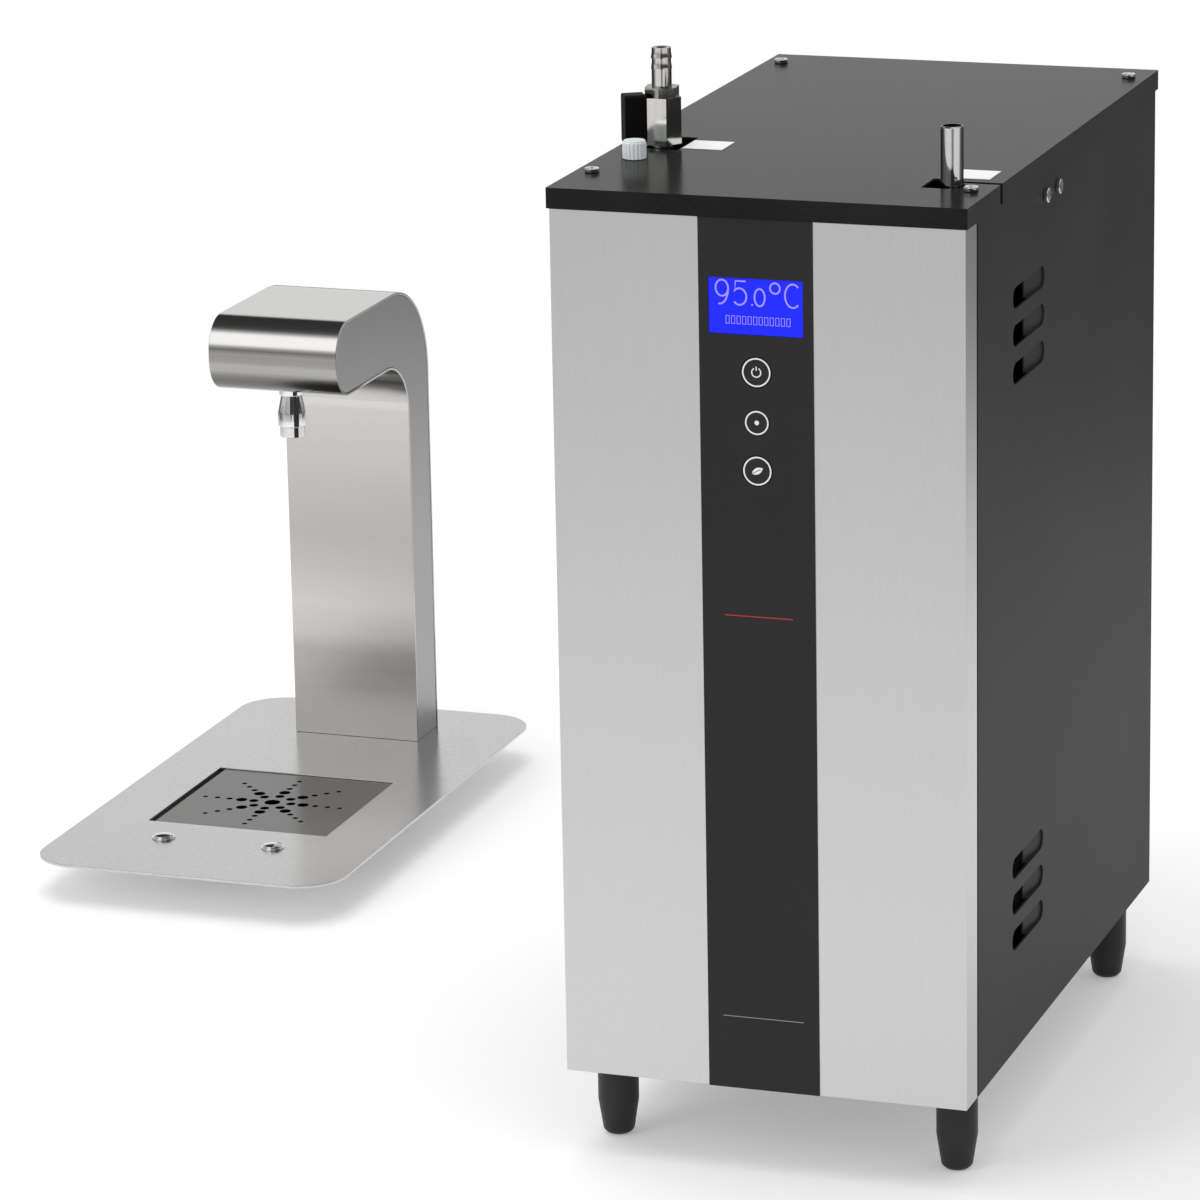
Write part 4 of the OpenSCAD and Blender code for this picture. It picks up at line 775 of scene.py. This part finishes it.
def add_stage():
    """A white floor that keeps soft shadows and fades out round the set."""
    bpy.ops.object.select_all(action="DESELECT")
    bpy.ops.mesh.primitive_plane_add(size=FLOOR_SIZE, location=(0, 0, -FLOOR_DROP))
    floor = bpy.context.object
    floor.name = "floor"
    material = bpy.data.materials.new("white floor")
    material.use_nodes = True
    tree = material.node_tree
    tree.nodes.clear()
    matt = add_node(tree, "BsdfDiffuse", (0, 0), Color=(*grey(FLOOR_LEVEL), 1))
    glow = add_node(tree, "Emission", (0, -200), Color=(1, 1, 1, 1))
    white = background_rays(tree, (-500, -300))
    strength = maths(tree, (-150, -250), "MULTIPLY", white, FLOOR_GLOW)
    both = add_node(tree, "AddShader", (250, 0))
    place = add_node(tree, "TexCoord", (-700, 300))
    reach = add_node(tree, "VectorMath", (-500, 300), operation="LENGTH")
    fade = span(tree, reach.outputs["Value"], (-300, 300), FLOOR_FADE,
                interpolation_type="SMOOTHSTEP")
    gone = add_node(tree, "BsdfTransparent", (250, 200))
    whole = add_node(tree, "MixShader", (450, 100))
    out = add_node(tree, "OutputMaterial", (650, 0))
    link = tree.links.new
    link(strength, glow.inputs["Strength"])
    link(matt.outputs[0], both.inputs[0])
    link(glow.outputs[0], both.inputs[1])
    link(place.outputs["Object"], reach.inputs[0])
    link(fade, whole.inputs["Fac"])
    link(both.outputs[0], whole.inputs[1])
    link(gone.outputs[0], whole.inputs[2])
    link(whole.outputs[0], out.inputs["Surface"])
    floor.data.materials.append(material)


def studio_levels(tree):
    """What metal sees: bands overhead, a dark screen, and the room below the floor's edge."""
    way = add_node(tree, "TexCoord", (-1600, 0))
    parts = add_node(tree, "SeparateXYZ", (-1400, 0))
    tree.links.new(way.outputs["Generated"], parts.inputs[0])
    right, back, up = (parts.outputs[axis] for axis in "XYZ")
    forward = maths(tree, (-1200, -100), "MULTIPLY", back, -1.0)
    down = maths(tree, (-1200, -300), "MULTIPLY", up, -1.0)
    turn = maths(tree, (-1000, 0), "ARCTAN2", up, forward)
    above = level_ramp(tree, maths(tree, (-850, 0), "DIVIDE", turn, pi), (-700, 0), ABOVE)
    aside = level_ramp(tree, span(tree, right, (-1000, 300), (-1.0, 1.0)), (-700, 300), ASIDE)
    banded = mixed(tree, (-450, 50), aside, above, ROOM_LEVEL)
    azimuth = maths(tree, (-1200, -550), "ARCTAN2", right, forward)
    room = span(tree, azimuth, (-1000, -550), (-pi, pi))
    screen = level_ramp(tree, room, (-700, -800), SCREEN)
    height = span(tree, up, (-700, -1050), SCREEN_TOP, (1.0, 0.0))
    screened = maths(tree, (-500, -800), "MULTIPLY", screen, height)
    upper = mixed(tree, (-300, -600), screened, banded, SCREEN_LEVEL)
    front = level_ramp(tree, down, (-700, -300), BELOW_FRONT)
    facing = level_ramp(tree, room, (-700, -550), ROUND_BELOW)
    lower = mixed(tree, (-400, -350), facing, SIDES_LEVEL, front)
    sunk = maths(tree, (-400, 200), "GREATER_THAN", down, 0.0)
    return mixed(tree, (-200, 0), sunk, upper, lower)


def add_world():
    """White to the camera and even to matt surfaces; to metal, a studio with bands."""
    world = bpy.data.worlds.new("studio")
    bpy.context.scene.world = world
    world.use_nodes = True
    tree = world.node_tree
    tree.nodes.clear()
    peak = add_node(tree, "VectorMath", (0, -50), operation="SCALE", Scale=STUDIO_PEAK)
    tree.links.new(studio_levels(tree), peak.inputs[0])
    ray = add_node(tree, "LightPath", (-200, 300))
    metal = mixed(tree, (150, 0), ray.outputs["Is Glossy Ray"], 1.0, peak.outputs[0])
    white = background_rays(tree, (-200, 500))
    pick = mixed(tree, (300, 100), white, MATT_LEVEL, metal)
    back = add_node(tree, "Background", (500, 0))
    out = add_node(tree, "OutputWorld", (700, 0))
    tree.links.new(pick, back.inputs["Color"])
    tree.links.new(back.outputs[0], out.inputs["Surface"])


def add_softbox(name, place, size, power, target=(0, 0, 0.25)):
    """An oblong lamp that faces the set and that metal doesn't show."""
    data = bpy.data.lights.new(name, "AREA")
    data.shape = "RECTANGLE"
    data.size, data.size_y = size
    data.energy = power
    lamp = bpy.data.objects.new(name, data)
    bpy.context.scene.collection.objects.link(lamp)
    lamp.location = place
    lamp.visible_glossy = False
    lamp.rotation_euler = (Vector(place) - Vector(target)).to_track_quat("Z", "Y").to_euler()


add_camera()
add_stage()
add_world()
add_softbox("overhead softbox", place=(-0.3, -0.2, 2.6), size=(2.2, 1.6), power=24)
add_softbox("front softbox", place=(-1.6, -2.6, 1.3), size=(1.2, 1.8), power=17)
bpy.context.scene.view_settings.view_transform = "Standard"
